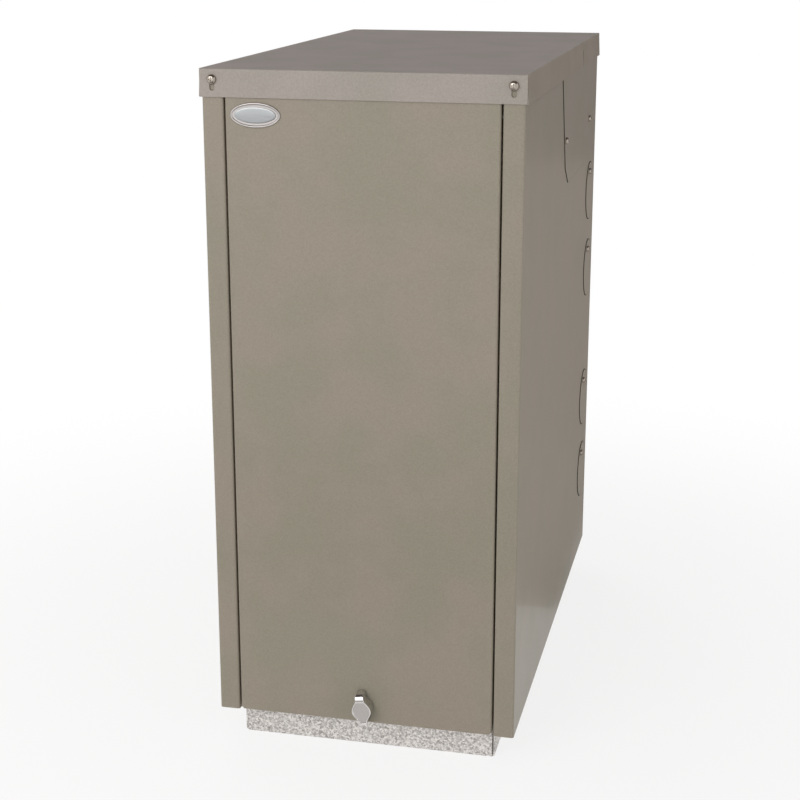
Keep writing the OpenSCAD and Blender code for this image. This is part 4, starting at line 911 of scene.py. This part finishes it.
@dataclass
class WingLock(SubAssembly):
    """Quarter-turn wing lock: a die-cast wing with a recessed face and a rounded upper shoulder."""

    nodes: ClassVar[dict[str, Edge]] = {
        "lock_barrel": Edge.FASTENER, "lock_nut": Edge.FASTENER, "lock_cam": Edge.FASTENER}
    length: float = 44.0
    width: float = 26.0
    end_width: float = 12.0
    widest: float = -2.4
    # How soon the swell runs out into the straight ends, how hollow its flanks are, and how
    # square the ends are cut
    top_neck: float = 1.6
    foot_neck: float = 1.45
    waist: float = 1.3
    end_power: int = 16
    end_least: float = 0.012
    seat: float = 0.3
    spindle_r: float = 4.0
    lean_deg: float = 10.0
    shoulder: float = 11.0
    edge_r: float = 1.0
    rim: float = 1.7
    recess: float = 0.9
    recess_wall: float = 0.45
    top_land: float = 0.4
    foot_land: float = 3.2
    top_wall: float = 0.5
    foot_wall: float = 0.6
    rows: int = 84
    insets: tuple[float, ...] = (0.0, 0.08, 0.3, 0.62, 1.0, 1.7, 1.95, 2.3)
    inner: tuple[float, ...] = (0.75, 0.5, 0.25, 0.0)

    @property
    def back_y(self) -> float:
        """Returns where the wing's back is, just in front of the barrel's collar, in millimetres."""
        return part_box("lock_barrel")[0].y / MM - self.seat

    @property
    def depth(self) -> float:
        """Returns how far the wing stands in front of its back, in millimetres."""
        return self.back_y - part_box("lock_knob")[0].y / MM

    def half_width(self, z: float) -> float:
        """Gives half the wing's width.

        Args:
            z: height above the wing's middle, in millimetres.

        Returns:
            The half width in millimetres.
        """
        low = z < self.widest
        reach = (z - self.widest) / ((-self.length if low else self.length) / 2 - self.widest)
        neck = self.foot_neck if low else self.top_neck
        swell = max(math.cos(min(reach * neck, 1) * math.pi / 2), 0) ** self.waist
        plan = self.end_width / 2 + (self.width - self.end_width) / 2 * swell
        return plan * max(1 - (abs(z) / (self.length / 2)) ** self.end_power, self.end_least) ** 0.5

    def front(self, inset: float, z: float) -> float:
        """Gives how far the front stands off the wing's back.

        Args:
            inset: distance inside the outline, in millimetres.
            z: height above the wing's middle, in millimetres.

        Returns:
            The height in millimetres, with the rounded edge, the recess and the shoulder.
        """
        top, foot = self.length / 2, -self.length / 2
        up = min(max((z - (top - self.shoulder)) / self.shoulder, 0), 1)
        body = self.depth - self.shoulder * (1 - math.sqrt(1 - up ** 2))
        near = min(inset, z - foot)
        lost = self.edge_r - math.sqrt(max(self.edge_r ** 2 - max(self.edge_r - near, 0) ** 2, 0))
        below = min(max((top - self.shoulder - self.top_land - z) / self.top_wall, 0), 1)
        above = min(max((z - foot - self.foot_land) / self.foot_wall, 0), 1)
        inside = min(max((inset - self.rim) / self.recess_wall, 0), 1)
        return body - lost - self.recess * inside * below * above

    def place(self, x: float, out: float, z: float) -> Point:
        """Puts a point of the leaning wing in the part's frame.

        Args:
            x: distance from the wing's middle line, in millimetres.
            out: height off the wing's back, in millimetres.
            z: height above the wing's middle, in millimetres.

        Returns:
            The point in metres.
        """
        centre = sum((Vector(c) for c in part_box("lock_barrel")), Vector()) / 2
        turned = Matrix.Rotation(math.radians(-self.lean_deg), 3, "Y") @ Vector((x, 0, z))
        return (centre.x + turned.x * MM, (self.back_y - out) * MM, centre.z + turned.z * MM)

    def wing(self) -> tuple[list[Point], list[list[int]]]:
        """Builds the wing as one front skin, its walls and its back.

        Returns:
            The corners and the faces.
        """
        verts: list[Point] = []
        faces: list[list[int]] = []
        across = [(-1, i) for i in self.insets] + [(0, f) for f in (
            *(-k for k in self.inner[:-1]), 0.0, *reversed(self.inner[:-1]))] + [
            (1, i) for i in reversed(self.insets)]
        heights = [-self.length / 2 * math.cos(math.pi * r / self.rows) for r in range(self.rows + 1)]
        count = len(across)
        for z in heights:
            half = self.half_width(z)
            last = min(self.insets[-1], half * 0.8)
            for side, value in across:
                if side:
                    inset = min(value, last * value / self.insets[-1] if half < 4 else value)
                    x = side * (half - inset)
                else:
                    x = value * (half - last)
                    inset = half - abs(x)
                verts.append(self.place(x, self.front(inset, z), z))
        for r in range(self.rows):
            for c in range(count - 1):
                a = r * count + c
                faces.append([a, a + 1, a + count + 1, a + count])
        edge = list(range(count))
        edge += [r * count + count - 1 for r in range(1, self.rows + 1)]
        edge += [self.rows * count + c for c in range(count - 2, -1, -1)]
        edge += [r * count for r in range(self.rows - 1, 0, -1)]
        back = []
        for v in edge:
            x, _, z = verts[v]
            verts.append((x, self.back_y * MM, z))
            back.append(len(verts) - 1)
        for k in range(len(edge)):
            nxt = (k + 1) % len(edge)
            faces.append([edge[k], edge[nxt], back[nxt], back[k]])
        faces.append(back[::-1])
        return verts, faces

    def spindle(self) -> tuple[list[Point], list[list[int]]]:
        """Builds the round spindle behind the wing as turned rings, with a small chamfer.

        Returns:
            The corners and the faces.
        """
        steps, chamfer = 48, 0.6
        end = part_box("lock_knob")[1].y / MM
        profile = ((self.spindle_r, self.back_y - 0.5), (self.spindle_r, end - chamfer),
                   (self.spindle_r - chamfer, end))
        centre = sum((Vector(c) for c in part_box("lock_barrel")), Vector()) / 2
        rings = [[(centre.x + r * MM * math.cos(t), y * MM, centre.z + r * MM * math.sin(t))
                  for t in (2 * math.pi * k / steps for k in range(steps))] for r, y in profile]
        return loft(rings)

    def make_pieces(self) -> None:
        """Makes the sculpted wing with its spindle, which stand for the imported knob."""
        verts, faces = self.wing()
        wing = new_piece("lock_wing", verts, faces, ChromePlate(), Body.LOCK)
        wing.data.materials.append(SatinChrome().material())
        sunk_y, near, flat = (self.back_y - self.depth + self.recess * 0.9) * MM, 0.2 * MM, 0.98
        for face in wing.data.polygons:
            level = all(abs(wing.data.vertices[v].co.y - sunk_y) < near for v in face.vertices)
            if level and abs(face.normal.y) > flat:
                face.material_index = 1
        verts, faces = self.spindle()
        new_piece("lock_spindle", verts, faces, MachinedSteel(), Body.LOCK)
        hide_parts("lock_knob")
        LOG.info("lock_wing, lock_spindle: %s", ChromePlate.name)


@dataclass
class HeatExchanger(SubAssembly):
    """Boiler shell with its firebox, baffles, covers, condenser, flue and water fittings."""

    nodes: ClassVar[dict[str, Edge]] = {
        "cradle": Edge.PLATE, "boiler_shell": Edge.PLATE, "firebox": Edge.PLATE,
        "boiler_top_plate": Edge.PLATE, "baffles": Edge.SHEET, "cleaning_cover": Edge.PLATE,
        "cleaning_cover_nuts": Edge.FASTENER, "flow_socket": Edge.FASTENER,
        "return_socket": Edge.FASTENER, "drain_plug": Edge.FASTENER, "combustion_door": Edge.PLATE,
        "combustion_door_block": Edge.PLATE, "combustion_door_nuts": Edge.FASTENER,
        "condenser": Edge.SHARP, "flue_spigot": Edge.SHEET, "flue_collar": Edge.SHEET,
        "condensate_trap": Edge.SHEET}


@dataclass
class Burner(SubAssembly):
    """Pressure-jet burner and its oil line."""

    nodes: ClassVar[dict[str, Edge]] = {
        "blast_tube": Edge.SHEET, "burner_flange": Edge.PLATE, "burner_housing": Edge.PLATE,
        "fan_wheel": Edge.SHARP, "burner_motor": Edge.SHARP, "pump_bracket": Edge.SHEET,
        "oil_pump": Edge.SHARP, "burner_control_box": Edge.PLATE, "burner_reset_button": Edge.FASTENER,
        "oil_valve": Edge.SHEET, "valve_lever": Edge.SHEET, "oil_pipe": Edge.SHARP}


@dataclass
class Controls(SubAssembly):
    """Control box behind the top of the door, with its dial, switch, button and lamps."""

    nodes: ClassVar[dict[str, Edge]] = {
        "control_box": Edge.SHEET, "thermostat_knob": Edge.SHEET, "rocker_switch": Edge.SHEET,
        "overheat_button": Edge.SHEET, "indicator_lamps": Edge.SHEET}


@dataclass(frozen=True)
class PaleFloor(Finish):
    """Matt white studio sweep: it holds the soft shadow and turns to plain white further out."""

    name: ClassVar[str] = "Matt white studio sweep"
    tone: ClassVar[str] = "#FBFAF9"
    roughness: ClassVar[float] = 0.9
    clear_from: float = 0.45
    clear_to: float = 1.5
    near_share: float = 0.8

    def dress(self, tree: bpy.types.NodeTree, shader: bpy.types.Node) -> None:
        """Lifts the floor towards the background's white for what looks at it, wholly so further out.

        Args:
            tree: the material's node tree.
            shader: its Principled node.
        """
        shader.inputs["Specular IOR Level"].default_value = 0.0
        place = add_node(tree, "ShaderNodeTexCoord")
        far = add_node(tree, "ShaderNodeVectorMath", {0: place.outputs["Object"]}, operation="LENGTH")
        fade = add_node(tree, "ShaderNodeMapRange", {
            "Value": far.outputs["Value"], "From Min": self.clear_from, "From Max": self.clear_to,
            "To Min": self.near_share}, interpolation_type="SMOOTHSTEP")
        seen = looked_at(tree)
        share = add_node(tree, "ShaderNodeMath", {0: fade.outputs["Result"], 1: seen}, operation="MULTIPLY")
        white = add_node(tree, "ShaderNodeEmission", {"Color": linear("#FFFFFF"), "Strength": 1.0})
        both = add_node(tree, "ShaderNodeMixShader", {
            0: share.outputs["Value"], 1: shader.outputs["BSDF"], 2: white.outputs["Emission"]})
        out = next(n for n in tree.nodes if n.bl_idname == "ShaderNodeOutputMaterial")
        tree.links.new(both.outputs["Shader"], out.inputs["Surface"])


@dataclass(frozen=True)
class DarkCard(Finish):
    """Dark card that the shiny pieces mirror, as photographers stand about a polished object."""

    name: ClassVar[str] = "Dark studio card"
    tone: ClassVar[str] = "#5F5855"
    roughness: ClassVar[float] = 1.0


@dataclass(frozen=True)
class PaleCard(Finish):
    """Pale card low beside the object: it takes the edge off the white that the long side mirrors."""

    name: ClassVar[str] = "Pale studio card"
    tone: ClassVar[str] = "#DCD6D2"
    roughness: ClassVar[float] = 1.0


@dataclass(frozen=True)
class GreyCard(Finish):
    """Grey card behind and beside the object: the satin paint mirrors it as a soft warm grey."""

    name: ClassVar[str] = "Grey studio card"
    tone: ClassVar[str] = "#989298"
    roughness: ClassVar[float] = 1.0


@dataclass(frozen=True)
class Softbox:
    """One soft studio lamp."""

    name: str
    at: Point
    aim: Point
    size: float
    power: float
    shows: bool = True

    def build(self) -> None:
        """Adds the lamp to the scene."""
        lamp = bpy.data.lights.new(self.name, "AREA")
        lamp.shape = "SQUARE"
        lamp.size = self.size
        lamp.energy = self.power
        holder = bpy.data.objects.new(self.name, lamp)
        holder.location = self.at
        holder.rotation_euler = (Vector(self.aim) - Vector(self.at)).to_track_quat("-Z", "Y").to_euler()
        holder.visible_glossy = self.shows
        bpy.context.scene.collection.objects.link(holder)


@dataclass
class Studio:
    """Camera at the photograph's angle, pale floor, world and lamps."""

    camera_at: Point = (0.4902, -2.3047, 1.0700)
    yaw_deg: float = 12.945
    pitch_deg: float = 15.261
    lens_mm: float = 74.0
    sensor_mm: float = 36.0
    shift_y: float = -0.04
    floor_half: float = 40.0
    world_low: str = "#CDCCCB"
    world_high: str = "#BDB9B9"
    world_strength: float = 1.0
    lamps: tuple[Softbox, ...] = (
        Softbox("key_softbox", (-1.2, -3.0, 1.9), (0.0, -0.3, 0.45), 2.0, 34.0),
        Softbox("fill_softbox", (2.8, -1.6, 1.2), (0.1, 0.0, 0.4), 1.8, 6.0, shows=False),
        Softbox("rear_softbox", (-1.6, 2.8, 1.6), (0.0, 0.3, 0.45), 1.8, 22.0, shows=False),
    )
    # Each card: its name, its middle, the point that it faces, its width, height and finish
    cards: tuple[tuple[str, Point, Point, float, float, Finish], ...] = (
        ("overhead_card", (0.0, -0.9, 2.7), (0.0, -0.9, 0.0), 4.4, 4.4, DarkCard()),
        ("rear_card", (0.0, 4.0, 1.9), (0.0, 0.0, 1.9), 9.0, 4.6, GreyCard()),
        ("side_card", (1.35, 1.0, 1.65), (1.35, -1.0, 1.65), 2.3, 2.1, GreyCard()),
        ("low_side_card", (1.35, 1.0, 0.3), (1.35, -1.0, 0.3), 2.3, 0.6, PaleCard()),
        ("floor_card", (0.85, 0.56, 0.004), (0.85, 0.56, 1.0), 1.26, 0.86, PaleCard()),
        ("front_strip", (-0.2, -1.2, 0.004), (-0.2, -1.2, 1.0), 1.2, 0.8, DarkCard()),
    )

    def camera(self) -> None:
        """Adds the camera that stands where the photographer's did."""
        data = bpy.data.cameras.new("camera")
        data.lens = self.lens_mm
        data.sensor_width = self.sensor_mm
        data.shift_y = self.shift_y
        data.clip_end = 200.0
        holder = bpy.data.objects.new("camera", data)
        holder.location = self.camera_at
        holder.rotation_euler = (math.radians(90 - self.pitch_deg), 0.0, math.radians(self.yaw_deg))
        bpy.context.scene.collection.objects.link(holder)
        bpy.context.scene.camera = holder

    def flat(self, name: str, at: Point, aim: Point, wide: float, deep: float,
             finish: Finish) -> bpy.types.Object:
        """Adds a flat rectangle of stage, facing a point.

        Args:
            name: the object's name.
            at: its middle, in metres.
            aim: the point that it faces.
            wide: its width, in metres.
            deep: its depth, in metres.
            finish: what it is made of.

        Returns:
            The new object.
        """
        mesh = bpy.data.meshes.new(name)
        x, y = wide / 2, deep / 2
        mesh.from_pydata([(-x, -y, 0), (x, -y, 0), (x, y, 0), (-x, y, 0)], [], [(0, 1, 2, 3)])
        mesh.materials.append(finish.material())
        piece = bpy.data.objects.new(name, mesh)
        piece.location = at
        piece.rotation_euler = (Vector(aim) - Vector(at)).to_track_quat("Z", "Y").to_euler()
        bpy.context.scene.collection.objects.link(piece)
        return piece

    def world(self) -> None:
        """Lights the object softly from all round and shows plain white behind it."""
        world = bpy.data.worlds.new("studio")
        world.use_nodes = True
        bpy.context.scene.world = world
        tree = world.node_tree
        tree.nodes.clear()
        place = add_node(tree, "ShaderNodeTexCoord")
        parts = add_node(tree, "ShaderNodeSeparateXYZ", {"Vector": place.outputs["Generated"]})
        height = add_node(tree, "ShaderNodeMapRange", {
            "Value": parts.outputs["Z"], "From Min": 0.0, "From Max": 1.0})
        tone = add_node(tree, "ShaderNodeMix", {
            0: height.outputs["Result"], 6: linear(self.world_low), 7: linear(self.world_high)},
            data_type="RGBA")
        light = add_node(tree, "ShaderNodeBackground", {
            "Color": tone.outputs[2], "Strength": self.world_strength})
        white = add_node(tree, "ShaderNodeBackground", {"Color": linear("#FFFFFF"), "Strength": 1.0})
        both = add_node(tree, "ShaderNodeMixShader", {
            0: looked_at(tree), 1: light.outputs["Background"], 2: white.outputs["Background"]})
        add_node(tree, "ShaderNodeOutputWorld", {"Surface": both.outputs["Shader"]})

    def build(self) -> None:
        """Sets the whole stage."""
        self.camera()
        side = self.floor_half * 2
        self.flat("floor", (0.0, 0.0, -0.0001), (0.0, 0.0, 1.0), side, side, PaleFloor())
        for name, at, aim, wide, high, finish in self.cards:
            card = self.flat(name, at, aim, wide, high, finish)
            card.visible_camera = card.visible_shadow = card.visible_diffuse = False
        for lamp in self.lamps:
            lamp.build()
        self.world()
        LOG.info("studio: camera, floor, %d lamps", len(self.lamps))


def main() -> None:
    """Builds every sub-assembly in order, then the studio."""
    logging.basicConfig(level=logging.INFO, format="%(name)s: %(message)s")
    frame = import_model()
    bpy.context.scene.view_settings.view_transform = "Standard"
    for group in (Casing, Door, Badge, WingLock, HeatExchanger, Burner, Controls):
        group(frame).build()
    Studio().build()
    bpy.context.view_layer.update()


if __name__ == "__main__":
    main()
